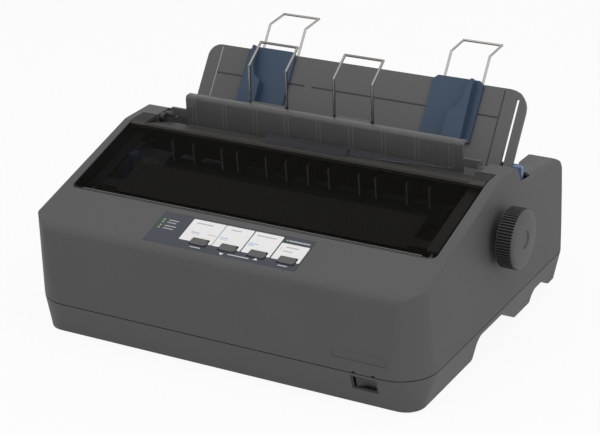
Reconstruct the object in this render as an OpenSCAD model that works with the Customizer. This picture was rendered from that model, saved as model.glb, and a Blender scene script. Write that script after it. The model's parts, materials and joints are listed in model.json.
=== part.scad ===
// Dot matrix printer for single sheets and fanfold paper.
// X runs to the right, Y to the back and Z up. The pieces are drawn from the middle of the
// case, its front seam and its underside, and place() then moves them to the shared origin.

/* [Case] */
// Width of the case
case_w = 348; // [330:1:380]
// Depth of the case
case_d = 275; // [265:1:300]
// Height of the seam between the two shells
seam_z = 28; // [26:0.5:34]
// Gap that shows at the seam
seam_gap = 0.8; // [0.4:0.1:1.5]
// Wall of both shells
wall = 2.5; // [2:0.1:3]
// Height of the flat top above the underside
top_z = 133.5; // [131:0.5:140]
// Distance from the rear to where the sloping top meets the flat top
slope_end_back = 133; // [129:1:137]
// Slope of the top towards the front, in degrees
slope_angle = 16; // [15:0.5:17]
// Distance from the rear to the rear edge of the two shoulders
shoulder_back = 95; // [93:1:97]
// Distance from the rear to the front edge of the rear deck
deck_back = 88; // [85:1:89]
// Height of the rear deck at its front edge
deck_z = 119.5; // [117:0.5:122]
// Slope of the rear deck, in degrees
deck_angle = 8; // [6:0.5:9]
// Radius of the front corners in plan
front_corner_r = 32; // [20:1:40]
// Radius of the rear corners in plan
rear_corner_r = 14; // [8:1:20]
// Radius along the two top side edges
side_edge_r = 2.6; // [2:0.2:4]
// Radius along the side edges of the rear deck
deck_edge_r = 11; // [8:1:14]
// How far the lower shell draws in at its underside, at its front and its sides
base_taper = 7.6; // [4:0.2:10]
// How far the lower shell draws in at the underside of its rear
rear_taper = 2.4; // [1:0.2:4]
// Radius of the front corners at the underside
base_corner_r = 16; // [12:1:20]
// How far each side of the upper shell leans in from the seam to its top
upper_lean = 4.8; // [4:0.1:6]
// Height of the front arch in the lower shell
arch_h = 21.5; // [12:0.5:24]
// Height of the rear arch in the lower shell
arch_low_h = 12; // [8:1:16]
// How far the arches reach in from the sides
arch_depth = 32; // [15:1:40]
// Thickness of the rubber feet
foot_h = 1.5; // [1:0.5:3]
// Diameter of the rubber feet
foot_d = 14; // [8:1:16]

/* [Printer cover] */
// Width of the case left beside the opening
opening_rim = 12.8; // [12:0.1:16]
// Front edge of the opening
opening_y = 49.5; // [46:0.5:54]
// Distance from the rear to the rear edge of the window in the cover
window_back = 135.5; // [134:0.5:141]
// Distance from the rear to the front face of the shoulders, where the cover ends
shoulder_front_back = 116.5; // [115:0.5:118]
// Thickness of the cover
cover_t = 2.4; // [1.8:0.1:3]
// Gap round the cover
cover_gap = 0.8; // [0.5:0.1:1.2]
// Height of the cover's hinge axis
cover_hinge_z = 129.5; // [129:0.1:130]
// Distance from the rear to the cover's hinge axis
cover_hinge_back = 111; // [110.5:0.1:111.5]
// Radius of the corners of the opening
opening_corner_r = 6; // [4:0.5:9]

/* [Sheet separator] */
// How far the standing panel ends short of each shoulder
separator_short = 20.5; // [16:0.5:26]
// Distance from the rear to its front face
separator_back = 103; // [102:0.1:103.5]
// Height of its lower edge
separator_low_z = 123.5; // [122:0.5:125]
// Height of its top
separator_top_z = 149.2; // [145:0.1:155]
// Depth of the panel with its top lip
separator_depth = 8; // [6:0.5:10]
// Number of ribs behind the panel
separator_ribs = 9; // [5:1:13]
// Width of each shoulder
shoulder_w = 26.5; // [24:0.5:29]

/* [Paper tray] */
// Gap between the tray and each side of the well
tray_gap = 2.7; // [1.5:0.1:8]
// Length of the tray above its pivot
tray_len = 69.8; // [60:0.1:80]
// Lean of the raised tray above the horizontal, in degrees
tray_angle = 54.7; // [50:0.1:60]
// Distance from the rear to the tray's pivot
tray_pivot_back = 62; // [59:0.5:65]
// Height of the tray's pivot
tray_pivot_z = 110; // [108:0.5:111]
// Thickness of the side rails
tray_t = 3; // [2.5:0.1:4]
// Width of the left side rail
tray_rail_left = 12.6; // [10:0.1:28]
// Width of the right side rail, which has a slit in it
tray_rail_right = 21.3; // [16:0.1:28]
// Radius of the tray's top corners
tray_corner_r = 11; // [8:1:16]
// Width of an edge guide
guide_w = 45; // [36:1:48]
// Place of an edge guide's inner edge from the middle
guide_x = 64.5; // [62:0.5:70]

/* [Wires] */
// Diameter of the wire supports
wire_d = 2.2; // [1.6:0.1:2.6]
// Width between the two legs of a support
wire_w = 34.6; // [28:0.1:38]
// Height of a front support's legs
front_wire_leg = 32.7; // [20:0.1:40]
// Reach of a support's bent top
wire_reach = 24.5; // [15:0.5:30]

/* [Platen and gears] */
// Radius of the rubber platen
platen_r = 13; // [10:0.5:13.5]
// How far the rubber platen ends short of each frame plate
platen_short = 22; // [20:1:30]
// Distance from the rear to the platen's axis
platen_back = 130.6; // [129:0.1:133]
// Height of the platen's axis
platen_z = 90.6; // [88:0.1:92]
// Radius of the platen's shaft
shaft_r = 4; // [3:0.5:5]
// Radius of the knob
knob_r = 24; // [20:0.5:26]
// Width of the knob
knob_w = 15.2; // [10:0.1:18]
// Number of grip ribs round the knob
knob_ribs = 60; // [40:1:72]
// Size of a gear tooth: pitch diameter over number of teeth
gear_module = 1; // [0.9:0.05:1.05]
// Teeth on the platen gear
platen_teeth = 40; // [36:2:44]
// Teeth on the idler gear
idler_teeth = 56; // [52:2:60]
// Teeth on the feed motor's pinion
pinion_teeth = 14; // [12:1:16]
// Width of the gears
gear_w = 5; // [4:0.5:6]
// Fall of the gear line from the platen to the tractor, in degrees
gear_line = 7.5; // [6:0.5:9]

/* [Carriage] */
// Radius of the carriage rod
rod_r = 5; // [4:0.5:6]
// Distance of the rod in front of the platen
rod_front = 32.4; // [30:0.1:34]
// Height of the rod
rod_z = 72; // [71:0.5:73]
// Width of the carriage
carriage_w = 40; // [32:1:46]
// Place of the parked carriage from the middle
carriage_x = -96; // [-100:1:-90]
// Radius of the belt pulleys
pulley_r = 7.6; // [6:0.1:8]

/* [Tractor] */
// Width of a tractor block
tractor_w = 18; // [14:0.5:22]
// Place of each tractor from the middle
tractor_x = 112; // [90:1:115]
// Radius of a sprocket drum
sprocket_r = 9.5; // [8:0.1:10]
// Pins on a sprocket
sprocket_pins = 5; // [5:1:6]
// Side of the square drive shaft
square_side = 6; // [5:0.1:7]

/* [Control panel] */
// Width of the panel sheet
panel_w = 133; // [125:1:140]
// Front edge of the panel sheet on the depth
panel_y = 9.5; // [9:0.5:12]
// Length of the panel sheet up the slope
panel_len = 35.5; // [32:0.5:36]
// Thickness of the panel sheet
panel_t = 0.4; // [0.3:0.1:0.5]
// Width of a button
button_w = 14.4; // [12:0.1:16]
// Length of a button up the slope
button_len = 7.3; // [6:0.1:8]
// Distance between buttons
button_pitch = 25.5; // [22:0.5:27]
// Place of the first button from the middle
button_x = -21.3; // [-24:0.1:-20]
// Place of the buttons on the depth
button_y = 18.4; // [18:0.1:20]
// Height of a button above the sheet
button_h = 1.2; // [0.8:0.1:2]

/* [Power switch] */
// Width of the switch opening
switch_w = 22; // [20:0.5:24]
// Height of the switch opening
switch_h = 13; // [12:0.5:14]
// Place of the switch from the middle
switch_x = 127; // [110:1:130]
// Height of the middle of the switch
switch_z = 19.6; // [19:0.1:20]
// Tilt of the rocker to either side, in degrees
rocker_tilt = 7; // [4:0.5:9]

/* [Hidden] */
$fn = 48;

// Clearances: what turns in a hole, what slides, and what only has to miss its neighbour.
run_gap = 0.05;
slide_gap = 0.4;
free_gap = 0.5;
key_gap = 0.3;

// Colours
case_grey = [0.33, 0.33, 0.33];
smoke = [0.16, 0.16, 0.15];
smoke_light = [0.36, 0.36, 0.36];
blue = [0.22, 0.31, 0.42];
steel = [0.70, 0.71, 0.73];
plated = [0.55, 0.57, 0.58];
black = [0.08, 0.08, 0.08];
white = [0.85, 0.85, 0.83];
board_green = [0.10, 0.30, 0.16];

// The case
half_w = case_w / 2;
// Places on the depth that move with the rear of the case
slope_end_y = case_d - slope_end_back;
shoulder_y = case_d - shoulder_back;
deck_y = case_d - deck_back;
window_y = case_d - window_back;
shoulder_front_y = case_d - shoulder_front_back;
cover_hinge_y = case_d - cover_hinge_back;
separator_y = case_d - separator_back;
tray_pivot_y = case_d - tray_pivot_back;
platen_y = case_d - platen_back;
rod_y = platen_y - rod_front;
opening_w = case_w - 2 * opening_rim;
slot_w = case_w - 2 * shoulder_w;
separator_w = slot_w - 2 * separator_short;
front_top_z = slope_z(0);
rear_top_z = deck_top(case_d);
edge_extra = 0.1;
side_lean = upper_lean / (top_z - seam_z);
lip_t = 1.5;
lip_h = 4;
foot_inset = 44;
feet_y = [61, case_d - 72, case_d - 15];
// The two arches on each side, as [start, end of their roof, end at the desk] on the depth
arch_places = [[case_d - 170, case_d - 124, case_d - 87], [case_d - 58, case_d - 39, case_d - 17]];
screw_r = 1.5;
screw_head_r = 3;
screw_boss_r = 4.5;
screw_places = [for (x = [-half_w + 16, half_w - 16], y = [60, case_d - 72]) [x, y]];
name_plate = [45, 7.5, 0.4];
name_plate_x = 123.5;
name_plate_z = 41.8;

// The frame that carries the mechanism
frame_x = half_w - 24;
frame_t = 1.6;
frame_low_z = 26;
gear_x = -frame_x - 10;
platen_len = 2 * frame_x - 2 * platen_short;

// Gears: the idler stands half way down the line from the platen to the tractor
pitch_platen = gear_module * platen_teeth / 2;
pitch_idler = gear_module * idler_teeth / 2;
pitch_pinion = gear_module * pinion_teeth / 2;
line_dir = [cos(gear_line), -sin(gear_line)];
platen_at = [platen_y, platen_z];
idler_at = platen_at + line_dir * (pitch_platen + pitch_idler);
tractor_at = platen_at + line_dir * (2 * pitch_platen + 2 * pitch_idler);
pinion_at = idler_at + [0, -pitch_idler - pitch_pinion];
platen_phase = 0;
idler_phase = mesh_phase(-gear_line, platen_phase, platen_teeth, idler_teeth);
tractor_phase = mesh_phase(-gear_line, idler_phase, idler_teeth, platen_teeth);
pinion_phase = mesh_phase(-90, idler_phase, idler_teeth, pinion_teeth);

// Knob
knob_in_x = half_w + 3;
knob_face_x = knob_in_x + knob_w;

// Belt
belt_t = 1.2;
belt_w = 5;
belt_y = platen_y - 48.4;
belt_z = 61;
pulley_x = frame_x - 18;

// Tray
tray_front = 1.75;
tray_back = tray_front - tray_t;
tray_low = -6;
tray_pin_r = 2.5;
tray_groove = 44.3;
tray_slit = [8.2, 1.2, 5.9, 62.4];
tray_break = [-50.2, -43];
wire_bend_s = tray_len + 26.5;
wire_bend_angle = 50;
guide_t = 2;
guide_low = 20;
guide_over = 1.8;
rear_wire_s = tray_len - 5;
rear_wire_n = -8;
fin_h = 8;
// The raised fin of an edge guide seen from its front, as [place from the middle, place up the tray]
fin_plan = [[87, 20, 2], [104.5, 20, 2], [103, 71, 0], [100.5, 71, 0], [97, 52, 4], [94, 45, 3],
    [88, 42, 3]];

// Other places of the mechanism
screw_top = seam_z + 1;
screw_head_z = 10;
post_r = 4;
board_t = 1.6;
board_z = 30;
power_z = 12;
bush_r = 8;
knob_neck_r = 7;
idler_pin_r = 3;
tractor_journal_r = 2.8;
tractor_rod_r = 3.5;
tractor_rod_at = tractor_at + [-17, -6];
tractor_top = 10;
pin_h = 1.8;
lever_pin = 5;
gap_lever_at = [rod_y - 2, 92];
lever_x = half_w - 18;
lever_t = 8;
lever_at = [case_d - 69, 90];
rail_y = belt_y - 19;
rail_t = 2;
rail_top = 70;
pan_z = 56;
ribbon_x = frame_x - 16;
cartridge_y = platen_y - 84.4;
ribbon_y = platen_y - platen_r - 0.3;
carriage_low = 66;
head_low = 83;
nose_y = ribbon_y - 0.55;
shield_w = 2 * frame_x - 40;
shield_drop = 9.5;
shield_len = 39;
front_lean = atan(base_taper / seam_z);
rocker_y = 8.5;
rocker_h = switch_h - 3 - 2 * slide_gap;
rocker_pin_r = 1.2;
lamp_r = 0.9;
lamp_places = [[-62.5, 35.4], [-62.5, 32.7], [-62.5, 28.9], [-62.5, 26], [-35.8, 39.8], [44.3, 39.3],
    [44.3, 33.3]];
deck_in = half_w - 22;
deck_rear_in = half_w - 31.4;
well_low_z = 94;
tray_w = 2 * deck_in - 2 * tray_gap;
cover_pin_r = 2;
cover_side_y = shoulder_front_y - 1.7;
band_end_y = cover_hinge_y + 4;
separator_axis = [separator_y + 0.6, 130.4];
ear_len = 15;
ear_top_z = 136.2;
separator_pin_r = 2;
guide_ribs = [-117, -97, -70, -55.5, -28.7, -10.3, 9.7, 28.5, 55.5, 70, 97, 116.5];
front_wire_x = [-52.8, 25.7];
front_wire_at = [separator_y + separator_depth + 2.4, separator_top_z - 1.4];
front_wire_bend = 55;
wire_foot = 5;
bend_bead = 0.04;
rear_wire_x = guide_x + guide_w / 2 - 1;
inlet_x = half_w - 62;
inlet_w = 28;
inlet_h = 20;
inlet_z = 43.5;
// Data connectors, as [place, width, height, height of the middle]
connectors = [[-60, 58, 10, 38.6], [24, 32, 10, 38.6]];
frame_posts = [for (x = [-frame_x - 0.8, frame_x + 0.8],
    y = [belt_y - 21, case_d - 90, case_d - 29]) [x, y]];
board_posts = [for (x = [-106, 52], y = [case_d - 129, case_d - 19]) [x, y]];
power_posts = [for (x = [frame_x - 78, frame_x - 20], y = [case_d - 147, case_d - 41]) [x, y]];

// Overall middle, from the front seam and left wall to the wires and the knob
wire_end_s = wire_bend_s + wire_reach * cos(wire_bend_angle);
wire_end_n = rear_wire_n - wire_reach * sin(wire_bend_angle);
reach_y = tray_pivot_y + wire_end_s * cos(tray_angle) - wire_end_n * sin(tray_angle) + wire_d / 2;
mid_x = (knob_face_x - half_w) / 2;
mid_y = reach_y / 2;

// Places on the sloping top and on the deck
function slope_z(y) = top_z - (slope_end_y - y) * tan(slope_angle);
function front_y(z) = 2 * (z - seam_z) / (slope_z(2) - seam_z);
function band_z(y) = slope_z(window_y) - (y - window_y) * 0.28;
function rib_x(i) = (i - (separator_ribs - 1) / 2) * 29.4;
function deck_top(y) = deck_z - (y - deck_y) * tan(deck_angle);

// A rounded corner at b between the points a and c, as points on an arc
function unit(v) = v / norm(v);
function bearing(v) = atan2(v[1], v[0]);
function turn(from, to) = (to - from + 540) % 360 - 180;
function fillet(a, b, c, r, steps) = r == 0 ? [b] :
    let (u = unit(a - b), v = unit(c - b), half = acos(u * v) / 2, reach = r / tan(half),
        centre = b + unit(u + v) * r / sin(half), first = bearing(b + u * reach - centre),
        swing = turn(first, bearing(b + v * reach - centre)))
    [for (k = [0 : steps]) centre + r * [cos(first + swing * k / steps), sin(first + swing * k / steps)]];

// An outline given as [x, y, corner radius] rows, with its corners rounded
function rounded(rows, steps = 6) = let (n = len(rows))
    [for (i = [0 : n - 1]) each fillet(flat2(rows[(i + n - 1) % n]), flat2(rows[i]),
        flat2(rows[(i + 1) % n]), rows[i][2], steps)];
function flat2(row) = [row[0], row[1]];

// The turn of a gear that meshes with another one in the given direction
function mesh_phase(direction, phase, teeth, other_teeth) =
    let (pitch = 360 / teeth, rest = direction - phase - pitch * floor((direction - phase) / pitch))
    direction + 180 + rest * teeth / other_teeth + 180 / other_teeth;

// Gear outline with straight flanks, thinned for running clearance
function gear_points(teeth) = let (r = gear_module * teeth / 2, root = r - 1.25 * gear_module,
        tip = r + 0.85 * gear_module, foot = 0.85 * gear_module, crown = 0.3 * gear_module)
    [for (i = [0 : teeth - 1]) each [for (corner = [[root, -foot], [tip, -crown], [tip, crown],
        [root, foot]])
        let (angle = 360 * i / teeth + asin(corner[1] / corner[0])) corner[0] * [cos(angle), sin(angle)]]];

// Moves a piece from the case's own corner values to the shared origin
module place() {
    translate([-mid_x, -mid_y, foot_h]) children();
}

// Extrudes a side outline, drawn as depth and height, from x0 to x1
module side(x0, x1) {
    translate([x0, 0, 0]) rotate([90, 0, 90]) linear_extrude(x1 - x0) children();
}

// A bar along X round the point [y, z]
module bar(x0, x1, at, r) {
    translate([x0, at[0], at[1]]) rotate([0, 90, 0]) cylinder(h = x1 - x0, r = r);
}

// A bar through the wall that starts at x on the side s, which is -1 or 1
module wall_bar(s, x, at, r) {
    bar(s > 0 ? x - 1 : -x - wall - 1, s > 0 ? x + wall + 1 : -x + 1, at, r);
}

// A box between two corners
module block(low, high) {
    translate(low) cube(high - low);
}

// Puts children on the sloping top, local Y up the slope and local Z outwards
module on_slope(y) {
    translate([0, y, slope_z(y)]) rotate([slope_angle, 0, 0]) children();
}

// Puts children on the tray, local Y up the tray and local Z out of its front
module on_tray() {
    translate([0, tray_pivot_y, tray_pivot_z]) rotate([tray_angle, 0, 0]) children();
}

// The plan of the case
module case_plan() {
    polygon(rounded([[-half_w, 0, front_corner_r], [half_w, 0, front_corner_r],
        [half_w, case_d, rear_corner_r], [-half_w, case_d, rear_corner_r]], 8));
}

// Side outline of the upper shell, its open bottom drawn lower by drop
module upper_outline(drop) {
    polygon(rounded([[0, seam_z - drop, 0], [2, slope_z(2), 10], [slope_end_y, top_z, 30],
        [shoulder_y, top_z, 7],
        [deck_y, deck_z, 2.5], [case_d, rear_top_z, 12],
        [case_d, seam_z - drop, 0]]));
}

// Cross-section that rounds one top side edge, on the side s: its top is at height 0
module edge_section(s, half, lean, r) {
    drop = 200;
    polygon(rounded([[s * (half + drop * lean), -drop, 0], [s * half, 0, r], [-s * 300, 0, 0],
        [-s * 300, -drop, 0]]));
}

// Both edges run along the depth, tilted by an angle about the point [y, z]. The sides lean in, so
// the two runs also turn a little towards each other where the top rises.
module edge_run(at, angle, inset, extra, r) {
    run = 700;
    half = half_w - side_lean * (at[1] - seam_z) + extra;
    intersection_for(s = [-1, 1]) translate([0, at[0], at[1]]) rotate([90 + angle, 0, 0])
        rotate([0, s * atan(side_lean * sin(angle)), 0]) translate([0, 0, -run / 2])
        linear_extrude(run) offset(delta = -inset)
        edge_section(s, half, side_lean * cos(angle), r);
}

// Closed form of the upper shell, drawn in by inset from its outer surface
module upper_form(inset) {
    intersection() {
        side(-half_w, half_w) offset(delta = -inset) upper_outline(2 * inset);
        translate([0, 0, seam_z - 2 * inset]) linear_extrude(top_z) offset(delta = -inset) case_plan();
        edge_run([slope_end_y, top_z], 0, inset, 0, side_edge_r);
        union() {
            intersection() {
                edge_run([slope_end_y, top_z], slope_angle, inset, edge_extra, side_edge_r);
                block([-half_w, 0, 0], [half_w, deck_y, top_z + 1]);
            }
            intersection() {
                edge_run([deck_y, deck_z], -deck_angle, inset, 3 * edge_extra, deck_edge_r);
                block([-half_w, deck_y - 0.01, 0], [half_w, case_d, top_z]);
            }
        }
    }
}

// Plan of the opening under the cover, drawn in by inset
module opening_plan(inset) {
    half = opening_w / 2 - inset;
    polygon(rounded([[-half, opening_y + inset, opening_corner_r],
        [half, opening_y + inset, opening_corner_r],
        [half, shoulder_front_y - inset, 0], [-half, shoulder_front_y - inset, 0]]));
}

// Plan of the rear well, which narrows to the rear, made wider by grow and started at depth from
module well_plan(grow, from) {
    front = deck_in + grow;
    rear = deck_rear_in + grow;
    polygon([[-front, from], [front, from], [front, tray_pivot_y + 9], [rear + 3.7, tray_pivot_y + 25],
        [rear, case_d - 5], [rear, case_d + 5], [-rear, case_d + 5], [-rear, case_d - 5],
        [-rear - 3.7, tray_pivot_y + 25], [-front, tray_pivot_y + 9]]);
}

module upper_case() {
    color(case_grey) place() {
        difference() {
            upper_form(0);
            difference() {
                upper_form(wall);
                // Solid walls that the shoulders and the deck sides are made of
                for (s = [-1, 1]) block([min(s * slot_w / 2, s * (slot_w / 2 + wall)),
                    shoulder_front_y, 114],
                    [max(s * slot_w / 2, s * (slot_w / 2 + wall)), deck_y, top_z]);
                translate([0, 0, well_low_z]) linear_extrude(40) difference() {
                    well_plan(wall, deck_y - wall);
                    well_plan(0, deck_y - wall - 1);
                }
                for (s = [-1, 1]) block([s > 0 ? slot_w / 2 : -half_w, shoulder_front_y, 120],
                    [s > 0 ? half_w : -slot_w / 2, shoulder_front_y + wall, top_z]);
            }
            translate([0, 0, seam_z - 2]) linear_extrude(2 + seam_gap / 2) square(2 * case_w,
                center = true);
            // Opening under the cover, and the paper slot behind it
            translate([0, 0, 80]) linear_extrude(60) opening_plan(0);
            block([-slot_w / 2, shoulder_front_y - 1, 100], [slot_w / 2, deck_y + 1, top_z + 5]);
            // Rear well for the tray and the tractors
            translate([0, 0, well_low_z]) linear_extrude(60) well_plan(0, deck_y);
            // Control panel recess, button holes and lamp holes
            on_slope(panel_y) translate([-panel_w / 2 - 0.2, -0.2, -panel_t])
                cube([panel_w + 0.4, panel_len + 0.4, 5]);
            for (i = [0 : 3]) on_slope(button_y) translate([button_x + i * button_pitch, 0, 0])
                cube([button_w + 2 * key_gap, button_len + 2 * key_gap, 20], center = true);
            for (p = lamp_places) on_slope(p[1]) translate([p[0], 0, -10]) cylinder(h = 20, r = lamp_r);
            // Bare name plate recess, and two catch notches above the switch
            block([name_plate_x - name_plate[0] / 2, -1, name_plate_z - name_plate[1] / 2],
                [name_plate_x + name_plate[0] / 2, front_y(name_plate_z) + name_plate[2],
                    name_plate_z + name_plate[1] / 2]);
            for (s = [-1, 1]) block([switch_x + s * 8 - 1.5, -1, seam_z],
                [switch_x + s * 8 + 1.5, wall + 1, seam_z + 1.6]);
            // Holes for the platen shaft, the hinge pins and the tray pins
            bar(half_w - 10, half_w + 1, platen_at, knob_neck_r + 1);
            for (s = [-1, 1]) {
                wall_bar(s, slot_w / 2, [cover_hinge_y, cover_hinge_z], cover_pin_r + run_gap);
                wall_bar(s, slot_w / 2, separator_axis, separator_pin_r + run_gap);
                wall_bar(s, deck_in, [tray_pivot_y, tray_pivot_z], tray_pin_r + run_gap);
            }
            // Slot for the release lever, power inlet and data connectors
            block([lever_x - 1, deck_y + 3, 90], [lever_x + lever_t + 2.5, lever_at[0] + 7, top_z]);
            block([inlet_x - inlet_w / 2 - 0.2, case_d - wall - 2, inlet_z - inlet_h / 2 - 0.2],
                [inlet_x + inlet_w / 2 + 0.2, case_d + 1, inlet_z + inlet_h / 2 + 0.2]);
            for (c = connectors) block([c[0] - c[1] / 2 - 0.3, case_d - wall - 2, c[3] - c[2] / 2 - 0.3],
                [c[0] + c[1] / 2 + 0.3, case_d + 1, c[3] + c[2] / 2 + 0.3]);
        }
        // Screw bosses on webs from the side walls
        for (p = screw_places) {
            translate([p[0], p[1], screw_top]) difference() {
                cylinder(h = 12, r = screw_boss_r);
                translate([0, 0, -1]) cylinder(h = 11, r = screw_r);
            }
            block([p[0] > 0 ? p[0] + 3 : -half_w + wall - 0.2, p[1] - 1.25, screw_top + lip_h],
                [p[0] > 0 ? half_w - wall + 0.2 : p[0] - 3, p[1] + 1.25, screw_top + 12]);
        }
        // Pan under the tractors
        block([-frame_x + 2, tray_pivot_y, pan_z], [frame_x - 2, case_d - wall + 0.1, pan_z + wall]);
    }
}

// Plan of the lower shell at a height, drawn in by inset
module lower_plan(z, inset) {
    part = (seam_z - z) / seam_z;
    side = half_w - base_taper * part;
    front_r = front_corner_r + (base_corner_r - front_corner_r) * part;
    rear_r = rear_corner_r * (1 - 0.6 * part);
    offset(delta = -inset) polygon(rounded([[-side, base_taper * part, front_r],
        [side, base_taper * part, front_r], [side, case_d - rear_taper * part, rear_r],
        [-side, case_d - rear_taper * part, rear_r]], 8));
}

// Closed form of the lower shell, drawn in by inset
module lower_form(inset) {
    hull() {
        translate([0, 0, inset]) linear_extrude(0.01) lower_plan(inset, inset);
        translate([0, 0, seam_z]) linear_extrude(0.01) lower_plan(seam_z, inset);
    }
}

// The arches between the foot blocks, grown by a wall thickness
module arches(grow) {
    near = half_w - arch_depth - grow;
    for (s = [-1, 1], i = [0, 1]) side(s > 0 ? near : -half_w - 1, s > 0 ? half_w + 1 : -near)
        offset(delta = grow) arch_outline(arch_places[i], i == 0 ? arch_h : arch_low_h);
}

// Side outline of an arch: a steep front end, a roof and a long ramp down to the desk
module arch_outline(places, roof) {
    polygon([[places[0] + 0.5, -5], [places[0] - 0.5, roof - 5], [places[0] + 3, roof], [places[1], roof],
        [places[2], -1], [places[2], -5]]);
}

// Puts children on the leaning front of the lower shell, local Y inwards
module on_front(z) {
    translate([0, base_taper * (seam_z - z) / seam_z, z]) rotate([front_lean, 0, 0]) children();
}

module lower_case() {
    color(case_grey) place() {
        difference() {
            union() {
                difference() {
                    lower_form(0);
                    difference() {
                        lower_form(wall);
                        arches(wall);
                    }
                }
                // Lip that locates the upper shell
                translate([0, 0, seam_z - 6]) linear_extrude(6 + lip_h) difference() {
                    offset(delta = -wall - slide_gap) case_plan();
                    offset(delta = -wall - slide_gap - lip_t) case_plan();
                }
                for (p = screw_places) translate([p[0], p[1], wall - 0.5])
                    cylinder(h = screw_top - wall + 0.5, r = screw_boss_r + 1);
                for (p = frame_posts) translate([p[0], p[1], wall - 0.5])
                    cylinder(h = frame_low_z - wall + 0.5, r = post_r);
                for (p = board_posts) translate([p[0], p[1], wall - 0.5])
                    cylinder(h = board_z - wall + 0.5, r = post_r);
                for (p = power_posts) translate([p[0], p[1], wall - 0.5])
                    cylinder(h = power_z - wall + 0.5, r = post_r);
            }
            arches(0);
            difference() {
                translate([0, 0, seam_z - seam_gap / 2]) linear_extrude(lip_h + 6) square(2 * case_w,
                    center = true);
                translate([0, 0, seam_z - 1]) linear_extrude(lip_h + 8)
                    offset(delta = -wall - slide_gap) case_plan();
            }
            for (p = screw_places) translate([p[0], p[1], -1]) {
                cylinder(h = 50, r = screw_r);
                cylinder(h = screw_head_z + 1, r = screw_head_r + slide_gap);
            }
            translate([switch_x, 0, 0]) on_front(switch_z)
                cube([switch_w, 30, switch_h], center = true);
        }
    }
}

module rubber_feet() {
    color(black) place() for (s = [-1, 1], y = feet_y)
        translate([s * (half_w - foot_inset), y, -foot_h]) cylinder(h = foot_h, r = foot_d / 2);
}

module case_screws() {
    color(plated) place() for (p = screw_places) translate([p[0], p[1], screw_head_z]) {
        translate([0, 0, -2.5]) cylinder(h = 2.5, r = screw_head_r);
        translate([0, 0, -0.1]) cylinder(h = screw_top - screw_head_z + 8, r = screw_r);
    }
}

// Side outline of a frame plate
module frame_outline() {
    front = cartridge_y - 2;
    rear = case_d - 20;
    frame_rear_z = well_low_z - 0.6;
    polygon(rounded([[front, frame_low_z, 4], [rear, frame_low_z, 4], [rear, frame_rear_z, 4],
        [rear - 39, frame_rear_z, 4],
        [rear - 45, 100, 4], [rear - 67, 100, 4], [rear - 73, 112, 4], [rod_y - 12, 112, 4],
        [front + 6, 101.5, 4], [front, 97, 4]], 3));
}

module frame_plate(x0) {
    difference() {
        side(x0, x0 + frame_t) frame_outline();
        bar(x0 - 1, x0 + frame_t + 1, platen_at, bush_r);
        bar(x0 - 1, x0 + frame_t + 1, tractor_at, tractor_journal_r + run_gap);
        bar(x0 - 1, x0 + frame_t + 1, [rod_y, rod_z], rod_r);
        bar(x0 - 1, x0 + frame_t + 1, tractor_rod_at, tractor_rod_r);
    }
}

module side_frame_left() {
    color(plated) place() {
        difference() {
            frame_plate(-frame_x - frame_t);
            bar(-frame_x - frame_t - 1, -frame_x + 1, pinion_at, 5);
        }
        bar(gear_x - 1, -frame_x - frame_t + 0.1, idler_at, idler_pin_r);
        bar(-frame_x - 0.1, -frame_x + lever_pin, gap_lever_at, 2);
    }
}

module side_frame_right() {
    color(plated) place() {
        frame_plate(frame_x);
        bar(frame_x + frame_t - 0.1, lever_x + lever_t + 1, lever_at, 3);
    }
}

module carriage_rod() {
    color(steel) place() bar(-frame_x - frame_t - 1, frame_x + frame_t + 1, [rod_y, rod_z], rod_r);
}

module carriage_rail() {
    color(plated) place() {
        difference() {
            union() {
                side(-frame_x, frame_x) polygon([[rail_y, 46], [rail_y + rail_t, 46],
                    [rail_y + rail_t, rail_top],
                    [rail_y, rail_top]]);
                block([-pulley_x - 12, rail_y + 1, 53], [-pulley_x + 12, rod_y, 55]);
                block([pulley_x - 14, rail_y + 1, 53], [pulley_x + 14, rod_y, 55]);
            }
            translate([pulley_x, belt_y, 50]) cylinder(h = 10, r = 3);
        }
        translate([-pulley_x, belt_y, 54.5]) cylinder(h = 10, r = 2);
    }
}

module platen_bushes() {
    color(white) place() for (s = [-1, 1]) difference() {
        union() {
            bar(s * frame_x - 1.5, s * frame_x + 1.5 + (s > 0 ? frame_t : 0), platen_at, bush_r);
            bar(s > 0 ? frame_x - 3.5 : -frame_x, s > 0 ? frame_x : -frame_x + 3.5, platen_at,
                bush_r + 1.5);
        }
        bar(s * frame_x - 9, s * frame_x + 9, platen_at, shaft_r + run_gap);
    }
}

// A circuit board with its parts, as [x, y, width, depth, height] rows from its front left corner
module circuit(corner, size, z, rows) {
    block([corner[0], corner[1], z], [corner[0] + size[0], corner[1] + size[1], z + board_t]);
    for (r = rows) block([corner[0] + r[0], corner[1] + r[1], z + board_t - 0.1],
        [corner[0] + r[0] + r[2], corner[1] + r[1] + r[3], z + board_t + r[4]]);
}

module main_board() {
    color(board_green) place() circuit([-112, case_d - 135], [170, 122], board_z,
        [[32, 50, 34, 34, 3], [82, 60, 42, 14, 4], [82, 38, 42, 14, 4], [136, 20, 14, 40, 4],
        [12, 10, 30, 20, 8], [62, 10, 12, 12, 10], [142, 75, 18, 12, 3], [16, 96, 16, 16, 10]]);
}

module power_board() {
    corner = [frame_x - 84, case_d - 153];
    color([0.45, 0.32, 0.16]) place() {
        circuit(corner, [70, 118], power_z,
            [[6, 8, 34, 40, 34], [46, 10, 20, 30, 24], [8, 82, 26, 22, 22], [44, 88, 22, 12, 12]]);
        for (i = [0 : 1]) translate([corner[0] + 18 + 22 * i, corner[1] + 64, power_z + board_t - 0.1])
            cylinder(h = 30, r = 9);
    }
}

module carriage_motor() {
    color(plated) place() {
        translate([pulley_x, belt_y, 27]) cylinder(h = 26, r = 14);
        translate([pulley_x, belt_y, 22]) cylinder(h = 5.1, r = 6);
    }
}

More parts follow.
